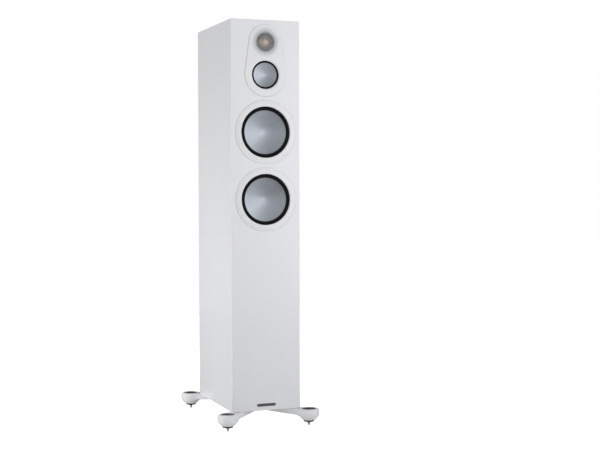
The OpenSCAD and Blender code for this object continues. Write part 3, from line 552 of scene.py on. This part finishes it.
# ---------- drivers ----------
def trim_ring(node):
    """Moulded ring with a raised inner lip, two fine grooves and a rounded outer edge."""
    line = [
        (65.4, 3.3), (65.4, -1.4, 0.9), (66.6, -2.2, 0.8), (69.4, -2.4, 0.5), (69.7, -2.1, 0.2),
        (70.1, -2.1, 0.2), (70.4, -2.3, 0.3), (76.4, -1.7, 0.2), (76.7, -1.0, 0.2), (77.4, -1.0, 0.2),
        (77.7, -1.55, 0.3), (80.9, -1.0, 0.7), (82, 0.6, 0.3), (82, 4), (79.2, 4), (79.2, 1.6), (69, 1.6),
        (69, 3.3),
    ]
    piece(f"{node}_moulded_ring", revolve(rounded(line, True, 4), 160, True),
          on_front(centre(f"{node}_trim_ring").z), "root", WHITE_PLASTIC,
          [f"{node}_trim_ring"], sharp=50)


def dish(r, edge_r, depth, nose):
    """Depth of the dish below its edge."""
    return depth * (1 - (np.sqrt(r * r + nose * nose) - nose) / (math.hypot(edge_r, nose) - nose))


def dimples(r, angle, gap, radius, depth):
    """Pressed dimples on rings whose count grows by six from ring to ring."""
    near = np.full(r.shape, 1e9)
    for step in (-1, 0, 1):
        ring = np.maximum(np.rint(r / gap) + step, 1)
        share = angle * 6 * ring / TAU - 0.5 * (ring % 2)
        off = (share - np.rint(share)) * TAU / (6 * ring)
        near = np.minimum(near, r * r + (ring * gap) ** 2 - 2 * r * ring * gap * np.cos(off))
    reach = np.minimum(np.sqrt(near) / radius, 1)
    return depth * (0.5 + 0.5 * np.cos(math.pi * reach))


def cone(node, edge_r, depth, nose, edge, thick, gap, rows, count):
    """One-piece dished diaphragm: dimpled front, and a smooth back that swells inside the glued edge."""
    body = f"{node}_diaphragm"
    r = np.linspace(0.02, 1, rows)[:, None] * edge_r
    angle = TAU * np.arange(count)[None, :] / count
    fade = np.clip((edge_r - 2.2 - r) / 2, 0, 1)
    pressed = dimples(r + 0 * angle, angle + 0 * r, gap, radius=0.45 * gap, depth=0.135 * gap)
    front_z = edge + dish(r, edge_r, depth, nose) + fade * pressed
    back_r = np.linspace(1, 0.02, rows // 4)[:, None] * edge_r
    swell = 0.3 * np.clip((edge_r - 3.5 - back_r) / 3, 0, 1)
    back_z = edge + thick + swell + dish(back_r, edge_r, depth, nose) + 0 * angle
    radii = np.concatenate([r, back_r])
    heights = np.concatenate([front_z, back_z])
    points = np.stack([radii * np.cos(angle), radii * np.sin(angle), heights], -1).reshape(-1, 3)
    piece(f"{node}_dimpled_dish", (points, capped(len(radii), count)), on_front(centre(f"{node}_cone").z),
          body, CONE_METAL, [f"{node}_cone"], sharp=60)


def bending(node, part, name, line, count, look):
    """Ring that joins a moving diaphragm at its inner radius to the fixed basket at its outer radius."""
    matrix = on_front(centre(f"{node}_{part}").z)
    turned = revolve(line, count, True)
    made = piece(f"{node}_{name}", turned, matrix, None, look, [f"{node}_{part}"], sharp=60)
    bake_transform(made)


def surround(node, inner, outer, flat, slope, depth, thick, count, look=RUBBER):
    """Half-roll with a glue flat on the basket and one behind the diaphragm's edge."""
    middle, big = (inner + outer) / 2, (outer - inner) / 2
    small = big - thick
    turn = np.linspace(math.pi, 0, 17)
    line = [(inner - flat, depth + slope + thick), (inner - flat, depth + slope)]
    line += [(middle + big * math.cos(a), depth - big * math.sin(a)) for a in turn]
    line += [(outer + flat, depth), (outer + flat, depth + thick)]
    line += [(middle + small * math.cos(a), depth + thick - small * math.sin(a)) for a in turn[::-1]]
    bending(node, "surround", "rolled_edge", line, count, look)


def spider(node, inner, outer, depth, height, waves, count):
    """Corrugated cloth disc between the coil's former and the basket."""
    cloth_t, glued_in, glued_out = 0.4, 1, 3
    steps = waves * 10
    share = np.arange(steps + 1) / steps
    r = inner + (outer - inner) * share
    wave = depth + height * np.sin(TAU * waves * share)
    line = list(zip(r, wave)) + list(zip(r[::-1], wave[::-1] + cloth_t))
    bending(node, "spider", "corrugated_disc", line, count, CLOTH)


def drivers():
    edge_r, flat, depth, nose = 55.8, 3.2, 17, 15
    slope = float(dish(np.array(edge_r - flat), edge_r, depth, nose))
    for node in WOOFERS:
        trim_ring(node)
        cone(node, edge_r, depth, nose, edge=2.4, thick=0.7, gap=5.8, rows=78, count=360)
        surround(node, edge_r, 64.7, flat, slope, depth=3.25, thick=0.8, count=128)
        spider(node, 16.2, 46.5, depth=33.8, height=1.1, waves=5, count=96)
    edge_r, flat, depth, nose = 30.9, 2.4, 9, 8
    slope = float(dish(np.array(edge_r - flat), edge_r, depth, nose))
    cone("mid", edge_r, depth, nose, edge=2.0, thick=0.6, gap=4.6, rows=56, count=240)
    surround("mid", edge_r, 35.4, flat, slope, depth=2.75, thick=0.6, count=112)
    spider("mid", 12.9, 29.4, depth=20, height=0.7, waves=4, count=72)
    surround("tweeter", 13.4, 15.8, 0.4, 0, depth=5.2, thick=0.3, count=96, look=DOME_CLOTH)


# ---------- tweeter and its plate ----------
def teardrop_plate():
    """Plate round the midrange and the tweeter, with a stepped rim and a bowl under the guard."""
    rim = [(-3.0, -1.2), (-2.7, -0.95), (-2.3, -0.95), (-2.0, -1.2), (-0.6, -1.2), (-0.2, -1.05), (0, -0.7),
           (0, 4)]
    mouth = [(39.3, -1.2), (38.9, -1.1), (38.5, -0.8), (36.3, 0.25), (36.0, 0.7), (36.0, 2.7), (38.4, 2.7),
             (38.4, 4)]
    bowl = [(38.9, -1.2), (38.6, -1.05), (38.6, -0.4), (37.4, -0.4), (34.0, 0.3), (30.5, 1.1), (27.2, 2.0),
            (24.6, 2.9), (23.5, 3.6), (23.5, 4)]
    walls = [[loop_at(teardrop(grow), z) for grow, z in rim], round_wall(mouth), round_wall(bowl, -APART)]
    piece("teardrop_plate", slab(walls), on_front(MID_Z), "root", WHITE_PLASTIC,
          ["mid_tweeter_plate"], flat=True)


def guard_cell(ring, place, pitch=2.5, web=0.2):
    """Opening of the guard's net, between two rings and two rays, with its corners cut."""
    step = TAU / (6 * ring)
    middle = step * (place + 0.5 * (ring % 2))
    corners = []
    for side, row in ((-1, -1), (-1, 1), (1, 1), (1, -1)):
        r = ring * pitch + row * (pitch - web) / 2
        a = middle + side * (step - web / r) / 2
        corners.append((r * math.cos(a), r * math.sin(a), 0.4))
    return np.array(rounded(corners, True, 1))


def guard():
    """Perforated disc: a net of nine rings in the middle, then thirty rays of shrinking round holes."""
    front, back = -1.2, -0.8
    holes = [circle(1.0, 6)]
    for ring in range(1, 10):
        holes += [guard_cell(ring, k) for k in range(6 * ring)]
    for out, size in ((25.65, 1.75), (29.7, 1.5), (33.4, 1.1), (36.3, 0.65)):
        for k in range(30):
            a = TAU * k / 30
            holes.append(circle(size, 12, out * math.cos(a), out * math.sin(a)))
    walls = [round_wall(((38.2, front), (38.5, -1.1), (38.5, -0.9), (38.3, back)), 0, 144)]
    walls += [[loop_at(hole, front), loop_at(hole, back)] for hole in holes]
    piece("perforated_guard", slab(walls), on_front(TWEETER_Z), "root", WHITE_MESH,
          ["tweeter_grille"], sharp=30, flat=True)


def guard_lining():
    """Thin dark cloth that lies in the bowl behind the guard."""
    inner, cloth_t = 16.6, 0.1
    top = [(inner, 4.05), (23.1, 4.05), (23.2, 3.5), (24.4, 2.75), (27.1, 1.85), (30.4, 0.95), (33.9, 0.15),
           (37.4, -0.45)]
    below = [(r - cloth_t, z - cloth_t) for r, z in top[:0:-1]] + [(inner, 4.05 - cloth_t)]
    piece("guard_lining", revolve(top + below, 96, True), on_front(TWEETER_Z), "root", LINING, sharp=40)


def gold_dome():
    """Spherical cap on a thin former."""
    edge_r, rise, crown_z, foot_z = 12.6, 4.2, 1.2, 15
    cap = (edge_r ** 2 + rise ** 2) / (2 * rise)
    sweep = math.asin(edge_r / cap)
    turns = [sweep * k / 20 for k in range(21)]
    arc = [(cap * math.sin(a), crown_z + cap - cap * math.cos(a)) for a in turns]
    line = arc + [(edge_r, 5.6), (edge_r, foot_z), (edge_r - 0.35, foot_z), (edge_r - 0.35, 5.7)]
    line += [(r * 0.972, z + 0.35) for r, z in arc[::-1]]
    piece("gold_dome", revolve(line, 96), on_front(TWEETER_Z), "tweeter_diaphragm", GOLD,
          ["tweeter_dome"], sharp=50)


# ---------- rear ----------
def ports():
    """Two flared reflex tubes with flanges."""
    flare, shoulder, wall_t, curve_z = 14, 11, 3, -14
    turn = np.linspace(0, math.pi / 2, 15)
    mouth = PORT_BORE_R + flare
    line = [(28.5, -PORT_LENGTH), (27.4, -119.6), (PORT_BORE_R, -118.5)]
    line += [(mouth - flare * math.cos(a), curve_z + flare * math.sin(a)) for a in turn]
    line += [(44.2, 0), (44.8, -0.25), (PORT_FLANGE_R, -0.8), (PORT_FLANGE_R, -3)]
    line += [(mouth - shoulder * math.cos(a), curve_z + shoulder * math.sin(a)) for a in turn[::-1]]
    line += [(PORT_BORE_R + wall_t, -118.5), (29.6, -119.6)]
    for name, z in zip(("lower", "upper"), PORTS):
        piece(f"{name}_port_trumpet", revolve(line, 128, True), on_rear(z), "root", BLACK_MOULDING,
              ["reflex_ports"] if name == "lower" else (), sharp=50)


def terminal_cup():
    """Flanged box that is open to the rear."""
    shape = [  # half width, half height, corner radius, height
        (44.2, 34.2, 5.5, -20.5), (44.5, 34.5, 6, -20.0), (44.5, 34.5, 6, -3), (52.8, 42.8, 5, -3),
        (53, 43, 5.2, -2.8), (53, 43, 5.2, -0.8), (52.7, 42.7, 5, -0.2), (52.2, 42.2, 4.6, 0),
        (43.0, 33.0, 5.8, 0), (42.4, 32.4, 5.5, -0.3), (42, 32, 5.2, -1.0), (41.6, 31.6, 5, -16.5),
        (41, 31, 4.6, -17.5), (39.8, 29.8, 4, -18),
    ]
    loops = [loop_at(box_outline(w, h, r, 6), z) for w, h, r, z in shape]
    cup = (np.concatenate(loops), capped(len(loops), len(loops[0])))
    piece("moulded_terminal_cup", cup, on_rear(centre("terminal_cup").z), "root", BLACK_MOULDING,
          ["terminal_cup"], flat=True)


def nut_grips():
    """Two ribbed terminal grips, bored for their cores."""
    bore, low, length, ribs = 5.45, -11.5, 14, 18
    angle = TAU * np.arange(216) / 216
    crest = 0.5 + 0.5 * np.cos(angle * ribs)
    profile = [  # radius, rib height, height above the inner end
        (6.2, 0, 0), (7.4, 0, 0.1), (7.75, 0, 0.6), (7.75, 0.45, 1.4), (7.7, 0.5, 10.5), (7.6, 0.3, 11.4),
        (7.4, 0, 12), (7.2, 0, 13.2), (6.8, 0, 13.8), (6.2, 0, length), (bore, 0, length), (bore, 0, 0),
    ]
    points = np.concatenate([hoop(r + rib * crest, angle, low + z) for r, rib, z in profile])
    for name, look in (("positive", RED_PLASTIC), ("negative", BLACK_PLASTIC)):
        spot = centre(f"{name}_nut_shell")
        piece(f"{name}_ribbed_grip", (points, quads(len(profile), len(angle), True)), on_rear(spot.z, spot.x),
              f"{name}_grip", look, [f"{name}_nut_shell"], sharp=55)


def screw():
    """Countersunk screw with a round socket and thread rings."""
    radius, head_r, head_t, length, socket_t = 1.6, 3.1, 1.7, 14, 1.1
    line = [(0.001, socket_t), (1.0, socket_t), (1.25, 0.9), (1.25, 0.05), (2.9, 0.0), (head_r, 0.12)]
    line.append((radius, head_t + 0.1))
    for k, z in enumerate(np.arange(head_t + 1, length - 1.2, 0.5)):
        line.append((radius - 0.25 * (k % 2), z))
    line += [(radius - 0.5, length - 0.6), (0.001, length)]
    return revolve(line, 18)


def screws():
    """Screws of the woofers, the midrange, the tweeter and the terminal cup."""
    parts = []

    def circle_of(matrix, count, r, first=0.0, z=4.2):
        for k in range(count):
            a = first + TAU * k / count
            parts.append(moved(screw(), matrix @ Matrix.Translation((r * math.cos(a), r * math.sin(a), z))))

    for node in WOOFERS:
        circle_of(on_front(centre(f"{node}_trim_ring").z), 6, 74.2)
    circle_of(on_front(MID_Z), 4, 44.2, math.pi / 4)
    circle_of(on_front(TWEETER_Z), 3, 30.6, math.pi / 2)
    cup = on_rear(centre("terminal_cup").z)
    for x in (-47.5, 47.5):
        for y in (-37.5, 37.5):
            local = Matrix.Translation((x, y, 0.02)) @ Matrix.Diagonal((1, 1, -1, 1))
            parts.append(moved(screw(), cup @ local))
    piece("countersunk_screws", joined(parts), Matrix(), "root", BLACK_STEEL, ["panel_screws"],
          sharp=45)


# ---------- crossover, wiring and wadding ----------
def crossover():
    """Coils, capacitors and resistors on the board's front. Local +Z runs forward and +Y runs up."""
    board_gap, middle_up = 0.0001, 0.175
    board_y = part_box("crossover_board")[0].y - board_gap
    board = placed((0, board_y, BASE + middle_up), Matrix.Rotation(math.pi / 2, 4, "X"))
    coils, cans, blocks = [], [], []
    for x, y, r, h in ((-33, 82, 18, 17), (8, 86, 15, 15), (40, 88, 12, 12)):
        line = rounded([(r / 2, 0.2), (r, 0.2, 1.2), (r, h, 1.2), (r / 2, h, 1.2)], True, 4)
        coils.append(moved(revolve(line, 48, True), Matrix.Translation((x, y, 0))))
    for x, y, r, h in (
        (-40, 42, 8, 34), (-18, 42, 8, 34), (4, 44, 7, 30), (24, 46, 6.5, 26), (42, 46, 5.5, 22)
    ):
        line = rounded([(0, 0), (r, 0, 1.5), (r, 2.6), (r - 0.5, 3.0), (r - 0.5, 3.6), (r, 4.0), (r, h, 1.2),
                        (0.6 * r, h), (0.6 * r, h - 0.4), (0, h - 0.4)], False, 4)
        local = Matrix.Translation((x, y - h / 2, r)) @ Matrix.Rotation(-math.pi / 2, 4, "X")
        cans.append(moved(revolve(line, 40), local))
    half_l, half_w, middle_y = 7, 4, 10
    for x in (-35, -15, 5, 25):
        shape = [loop_at(box_outline(half_l - inset, half_w - inset, 0.8, 3, x, middle_y), z)
                 for inset, z in ((0.3, 0.1), (0, 0.4), (0, 7.6), (0.3, 8))]
        blocks.append(slab([shape]))
    piece("crossover_coils", joined(coils), board, "root", COPPER, ["crossover_parts"],
          sharp=50)
    piece("crossover_capacitors", joined(cans), board, "root", FILM, sharp=40)
    piece("crossover_resistors", joined(blocks), board, "root", CERAMIC, sharp=40)


def leads():
    """Four leads that rise from the crossover in one trunk and turn forward to their drivers, in metres."""
    board_y, trunk_y = REAR - 0.036, FRONT + 0.160
    runs = [  # place across the trunk, height of the trunk's end, then (across, depth, height) to the driver
        (0.0300, 0.800, [(0.018, 0.150, 0.845), (0.010, 0.1325, 0.8605)]),
        (0.0342, 0.895, [(0.038, 0.110, 0.932), (0.026, 0.060, 0.944), (0.012, 0.0325, 0.944)]),
    ]
    for x, node in ((0.0384, "upper_woofer"), (0.0426, "lower_woofer")):
        h = centre(f"{node}_trim_ring").z - BASE
        runs.append((x, h - 0.060, [(0.057, 0.110, h - 0.030), (0.058, 0.055, h - 0.006), (0.053, 0.037, h)]))
    data = bpy.data.curves.new("driver_leads", "CURVE")
    data.dimensions = "3D"
    data.bevel_depth = 0.0018
    data.bevel_resolution = 3
    data.use_fill_caps = True
    for x, top, tail in runs:
        line = [(x, board_y, BASE + 0.240), (x, trunk_y, BASE + 0.264)]
        line += [(x, trunk_y, BASE + z) for z in np.linspace(0.300, top, 6)]
        line += [(a, FRONT + y, BASE + z) for a, y, z in tail]
        spline = data.splines.new("POLY")
        spline.points.add(len(line) - 1)
        for point, spot in zip(spline.points, line):
            point.co = (*spot, 1)
    data.materials.append(JACKET)
    made = put("driver_leads", data)
    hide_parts("internal_wiring")
    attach(made, "root")


def fleece(side, floor, roof):
    """Uneven sheet that hangs on a side wall between two heights and thins to its hem."""
    back_x, thin, most, near_y, far_y, cell, nu = 74.4, 0.8, 7.8, 60.0, 270.0, 6, 36
    nv = max(8, int((roof - floor) / cell))
    u, v = np.meshgrid(np.linspace(0, 1, nu), np.linspace(0, 1, nv), indexing="ij")
    hem = np.clip(np.minimum(np.minimum(u, 1 - u) * 14, np.minimum(v, 1 - v) * nv / 3), 0, 1)
    fluff = rng.normal(0, 0.5, u.shape)
    fluff = (fluff + np.roll(fluff, 1, 0) + np.roll(fluff, 1, 1) + np.roll(fluff, -1, 0)) / 2.4
    thick = np.clip(thin + 6.2 * np.sqrt(hem) + fluff * hem, thin, most)
    y = near_y + u * (far_y - near_y)
    z = floor + v * (roof - floor)
    face = np.stack([side * (back_x - thick), y, z], -1)
    back = np.stack([side * np.full(u.shape, back_x), y, z], -1)[:, ::-1]
    return np.concatenate([face, back], 1).reshape(-1, 3), capped(nu, 2 * nv)


def wadding():
    """Sheets on both side walls, between the braces."""
    clear, brace_t = 4, 12
    braces = (294.0, 424.0, 622.5, 791.0)
    floors = (WALL_T, *(z + brace_t for z in braces))
    roofs = (*braces, HEIGHT - WALL_T)
    parts = [fleece(side, a + clear, b - clear) for side in (-1, 1) for a, b in zip(floors, roofs)]
    made = piece("fleece_sheets", joined(parts), placed((0, FRONT, BASE)), "root", WADDING,
                 ["damping_wadding"], sharp=80)


# ---------- feet ----------
def soft_min(a, b, k):
    h = np.clip(0.5 + 0.5 * (b - a) / k, 0, 1)
    return b + (a - b) * h - k * h * (1 - h)


def soft_max(a, b, k):
    return -soft_min(-a, -b, k)


def foot_solid(p):
    """Signed distance, negative inside, of a cast outrigger: a grooved bowl that flows into a tapered arm."""
    bowl_r, bowl_z, rise, drop_h, foot_z = 27.4, -8, 16.6, 25.0, -29
    x, y, z = p[..., 0], p[..., 1], p[..., 2]
    away = np.hypot(x, y)
    half = np.where(z > bowl_z, rise, drop_h)
    k0 = np.sqrt((away / bowl_r) ** 2 + ((z - bowl_z) / half) ** 2) + 1e-9
    k1 = np.sqrt((away / bowl_r ** 2) ** 2 + ((z - bowl_z) / half ** 2) ** 2) + 1e-9
    groove = sum(np.exp(-((z - level) / 1.1) ** 2) for level in (-4.5, -10.5, -16.5, -22.5))
    bowl = soft_max(k0 * (k0 - 1) / k1 + 0.75 * groove, z - 1, 1.6)
    bowl = soft_max(bowl, foot_z - z, 1.0)
    end = ARM_LENGTH - 13.5
    share = np.clip(x / end, 0, 1)
    plan = np.hypot(x - share * end, y) - (19.5 - 6.0 * share)
    under = np.interp(x, [0, 24, 74, 124], [-17.0, -16.0, -12.8, -9.0])
    arm = soft_max(plan, soft_max(under - z, z, 1.2), 3.5)
    solid = soft_min(bowl, arm, 9.0)
    lid = np.interp(away, [21.0, 25.0], [1.0, -0.4])
    solid = soft_max(solid, z - lid, 0.6)
    recess_r, recess_z, bore_r = 18.3, -8, 4.1
    solid = soft_max(solid, -soft_max(away - recess_r, recess_z - z, 0.6), 1.2)
    solid = soft_max(solid, bore_r - away, 0.5)
    bolt_r, head_r, head_z = 3.1, 5.5, -5.5
    for share in (0.62, 0.86):
        off = np.hypot(x - ARM_LENGTH * share, y)
        solid = soft_max(solid, bolt_r - off, 0.3)
        solid = soft_max(solid, -soft_max(off - head_r, z - head_z, 0.3), 0.6)
    return solid


def surface_net(solid, low, high, step):
    """Closed mesh of the zero level of a signed distance."""
    axes = [np.arange(a, b + step, step) for a, b in zip(low, high)]
    value = solid(np.stack(np.meshgrid(*axes, indexing="ij"), -1))
    shape = tuple(n - 1 for n in value.shape)
    total, hits = np.zeros((*shape, 3)), np.zeros(shape)
    for corner in np.ndindex(2, 2, 2):
        for axis in (k for k in range(3) if not corner[k]):
            other = list(corner)
            other[axis] = 1
            a, b = (value[tuple(slice(c, c + n) for c, n in zip(end, shape))] for end in (corner, other))
            crossed = (a < 0) != (b < 0)
            share = np.where(crossed, a / np.where(crossed, a - b, 1), 0)
            for d in range(3):
                total[..., d] += np.where(crossed, corner[d] + (share if d == axis else 0), 0)
            hits += crossed
    active = hits > 0
    index = np.full(shape, -1)
    index[active] = np.arange(active.sum())
    points = np.array(low) + (np.argwhere(active) + total[active] / hits[active][:, None]) * step
    faces = []
    for axis in range(3):
        a, b = (axis + 1) % 3, (axis + 2) % 3
        inner = [slice(1, -1)] * 3
        inner[axis] = slice(0, value.shape[axis] - 1)
        ahead = list(inner)
        ahead[axis] = slice(1, None)
        sign = value[tuple(inner)] < 0
        crossed = np.argwhere(sign != (value[tuple(ahead)] < 0))
        flip = sign[tuple(crossed.T)]
        cell = crossed + [0 if d == axis else 1 for d in range(3)]
        ring = []
        for step_a, step_b in ((0, 0), (-1, 0), (-1, -1), (0, -1)):
            shifted = cell + step_a * np.eye(3, dtype=int)[a] + step_b * np.eye(3, dtype=int)[b]
            ring.append(index[tuple(shifted.T)])
        quad = np.stack(ring, -1)
        quad[~flip] = quad[~flip][:, ::-1]
        faces += quad.tolist()
    h = 0.05
    for _ in range(3):
        slope = np.stack([(solid(points + s) - solid(points - s)) / (2 * h) for s in np.eye(3) * h], -1)
        points = points - solid(points)[:, None] * slope / np.maximum((slope ** 2).sum(1), 0.3)[:, None]
    return points, faces


def grip_disc():
    """Levelling knob with twenty-four grips round its rim and a bore for the spike."""
    angle = np.linspace(0, TAU, 145)[:-1]
    grips = 0.5 + 0.5 * np.cos(angle * 24)
    profile = [  # radius, depth of the grips, height
        (4.1, 0, -3.2), (16.3, 0, -3.2), (17.2, 0.5, -2.9), (17.6, 0.8, -2.4), (17.6, 0.8, -0.9),
        (17.2, 0.6, -0.35), (16.5, 0.2, -0.1), (15.5, 0, 0), (7.4, 0, 0), (6.9, 0, -0.25), (6.4, 0, -0.6),
        (4.1, 0, -0.6),
    ]
    rows = [hoop(r - bite * grips, angle, z) for r, bite, z in profile]
    return np.concatenate(rows), quads(len(rows), len(angle), True)


def pointed_spike():
    """Threaded stud with a plain collar and a cone point."""
    stud_r, thread_h = 4.0, 0.55
    turn = TAU * np.arange(40) / 40
    rows = [hoop(r, turn, z) for r, z in ((0.01, -1.2), (3.2, -1.2), (3.9, -1.5))]
    for z in np.arange(-1.6, -35.6, -THREAD_PITCH / 5):
        phase = (z / THREAD_PITCH + turn / TAU) % 1
        rows.append(hoop(stud_r - thread_h * (1 - np.abs(2 * phase - 1)), turn, z))
    point = ((3.95, -35.9), (stud_r, -36.2), (stud_r, -36.9), (3.9, -37.15), (0.95, -43.4), (0.7, -43.85),
             (0.4, -44), (0.01, -44))
    rows += [hoop(r, turn, z) for r, z in point]
    return np.concatenate(rows), quads(len(rows), len(turn))


def feet():
    """At each corner: cast arm with its pod, knob, spike, and the ring under the pod."""
    casting = surface_net(foot_solid, low=(-30, -30, -31), high=(125, 30, 3), step=1.25)
    disc, spike = grip_disc(), pointed_spike()
    bore, top, bottom = 4.4, -29, -32.6
    line = [(bore, top), (13.4, top, 0.5), (14, -29.7, 0.5), (14, -31.6, 0.8), (13.2, bottom, 0.6),
            (bore, bottom)]
    ring = revolve(rounded(line, True, 4), 80, True)
    for corner in CORNERS:
        matrix = at_corner(corner)
        piece(f"{corner}_cast_arm", casting, matrix, "root", CASTING,
              [f"{corner}_outrigger"], sharp=180)
        piece(f"{corner}_grip_disc", disc, matrix, f"{corner}_wheel", KNOB,
              [f"{corner}_knob"], sharp=45)
        piece(f"{corner}_pointed_spike", spike, matrix, f"{corner}_stud", SPIKE_STEEL,
              [f"{corner}_spike"], sharp=50)
        piece(f"{corner}_rubber_ring", ring, matrix, "root", FOOT_RUBBER,
              ["foot_rings"] if corner == "front_left" else (), sharp=50)


# ---------- finishes of the carried-over CAD nodes ----------
CARRIED = {
    "window_braces": MDF, "mid_chamber": BLACK_MOULDING, "grille_magnets": MAGNET_PLATE,
    "mid_basket": BASKET, "mid_motor": STEEL, "mid_voice_coil": COIL, "tweeter_motor": STEEL,
    "binding_posts": GOLD_PLATE, "positive_nut_core": GOLD_PLATE, "negative_nut_core": GOLD_PLATE,
    "crossover_board": BOARD, "outrigger_bolts": STEEL,
}
for woofer in WOOFERS:
    CARRIED |= {f"{woofer}_basket": BASKET, f"{woofer}_voice_coil": COIL, f"{woofer}_magnet": FERRITE,
                f"{woofer}_poles": STEEL}


def dress_carried_nodes():
    for name, look in CARRIED.items():
        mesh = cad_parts[name].data
        mesh.materials.clear()
        mesh.materials.append(look)


# ---------- studio ----------
def floor():
    """Pale floor. The camera sees it as white. Polished pieces see painted shade on it, darker towards the
    feet, and other pieces get a faint painted glow of bounce light from it.
    """
    reach = 2.6
    corners = [(-reach, -reach, 0), (reach, -reach, 0), (reach, reach, 0), (-reach, reach, 0)]
    ground = bpy.data.meshes.new("floor")
    ground.from_pydata(corners, [], [(0, 1, 2, 3)])
    look, tree, shader = node_tree("pale_floor")
    ray = add(tree, "ShaderNodeLightPath")
    to_camera = spread(tree, ray["Is Camera Ray"], 0.0, 0.9)
    # Painted bounce light: the floor glows faintly for diffuse rays and lifts the light on the pieces' lower
    # parts.
    painted_bounce_glow = spread(tree, ray["Is Diffuse Ray"], 0.0, 0.09)
    fill(tree, shader, {
        "Base Color": ramp(tree, grain(tree, 2.0), (0.78, 0.78, 0.78), (0.80, 0.80, 0.80)),
        "Roughness": 0.9,
        "Specular IOR Level": 0.1,
        "Emission Strength": calc(tree, "ADD", to_camera, painted_bounce_glow),
    })
    # Painted shade seen only in reflections: glossy rays see the floor grey near the speaker and white
    # further out.
    reflected_shade_fade = shaped(tree, dot(tree, own_place(tree), (0.85, -0.5, 0.0)), 0.40, 0.95)
    reflected_shade_greys = ramp(tree, reflected_shade_fade, (0.30, 0.30, 0.31), (1.0, 1.0, 1.0), 0, 1)
    reflected_shade_bsdf = add(tree, "ShaderNodeBsdfDiffuse", {"Color": reflected_shade_greys})[0]
    values = {"Fac": ray["Is Glossy Ray"], 1: shader.outputs[0], 2: reflected_shade_bsdf}
    either = add(tree, "ShaderNodeMixShader", values)[0]
    tree.links.new(either, tree.nodes["Material Output"].inputs["Surface"])
    ground.materials.append(look)
    plane = put("floor", ground)


def room():
    """World that the camera sees as white, and the pieces as a bright wall on each side of the front."""
    world = bpy.data.worlds.new("studio")
    bpy.context.scene.world = world
    world.use_nodes = True
    tree = world.node_tree
    tree.nodes.clear()
    ray = add(tree, "ShaderNodeTexCoord")["Generated"]
    split = add(tree, "ShaderNodeSeparateXYZ", {0: ray})
    level = add(tree, "ShaderNodeVectorMath", {0: ray, 1: (1, 1, 0)}, operation="MULTIPLY")[0]
    heading = add(tree, "ShaderNodeVectorMath", {0: level}, operation="NORMALIZE")[0]
    to_right = shaped(tree, dot(tree, heading, (0.545, -0.839, 0.0)), 0.62, 1.0, 0.0, 1.08)
    right_wall = calc(tree, "MULTIPLY", to_right, shaped(tree, split["Z"], 0.72, 0.34))
    to_left = shaped(tree, split["X"], -0.45, -0.85, 0.30, 0.95)
    left_wall = calc(tree, "MULTIPLY", to_left, shaped(tree, split["Z"], 0.75, 0.30, 0.40))
    total = calc(tree, "ADD", right_wall, left_wall)
    light = add(tree, "ShaderNodeBackground", {"Color": (0.985, 0.99, 1.0, 1), "Strength": total})[0]
    white = add(tree, "ShaderNodeBackground", {"Color": (1, 1, 1, 1)})[0]
    values = {"Fac": add(tree, "ShaderNodeLightPath")["Is Camera Ray"], 1: light, 2: white}
    either = add(tree, "ShaderNodeMixShader", values)[0]
    add(tree, "ShaderNodeOutputWorld", {"Surface": either})


def softbox(name, spot, aim, size, power):
    """Rectangular lamp that shows neither to the camera nor in reflections."""
    data = bpy.data.lights.new(name, "AREA")
    data.shape = "RECTANGLE"
    data.size, data.size_y = size
    data.energy = power
    lamp = put(name, data)
    lamp.location = spot
    lamp.rotation_mode = "QUATERNION"
    lamp.rotation_quaternion = (Vector(spot) - Vector(aim)).to_track_quat("Z", "Y")
    lamp.visible_glossy = False
    lamp.visible_camera = False


def studio():
    room()
    softbox("overhead", spot=(-0.2, 0.1, 3.2), aim=(0, 0, 0.2), size=(2.6, 2.6), power=21)
    softbox("front_glow", spot=(0.58, -0.70, 0.66), aim=(0, -0.155, 0.60), size=(0.4, 0.7), power=2.1)
    softbox("side_glow", spot=(-0.95, 0.0, 0.36), aim=(-0.09, 0, 0.36), size=(0.5, 0.5), power=3.4)
    bpy.context.scene.view_settings.view_transform = "Standard"


def camera():
    yaw, pitch, roll = math.radians(20.818), math.radians(1.885), math.radians(-0.1434)
    stand = (-0.99698, FRONT - 2.86766, BASE + 0.57690)
    ahead = np.array([math.sin(yaw) * math.cos(pitch), math.cos(yaw) * math.cos(pitch), -math.sin(pitch)])
    right = np.array([math.cos(yaw), -math.sin(yaw), 0.0])
    up = np.cross(right, ahead)
    c, s = math.cos(roll), math.sin(roll)
    data = bpy.data.cameras.new("camera")
    data.lens = 71.13
    made = put("camera", data)
    turn = Matrix([c * right + s * up, c * up - s * right, -ahead]).transposed().to_4x4()
    made.matrix_world = Matrix.Translation(stand) @ turn
    bpy.context.scene.camera = made


cabinet()
badge()
drivers()
teardrop_plate()
guard()
guard_lining()
gold_dome()
ports()
terminal_cup()
nut_grips()
screws()
crossover()
leads()
wadding()
feet()
dress_carried_nodes()
floor()
studio()
camera()
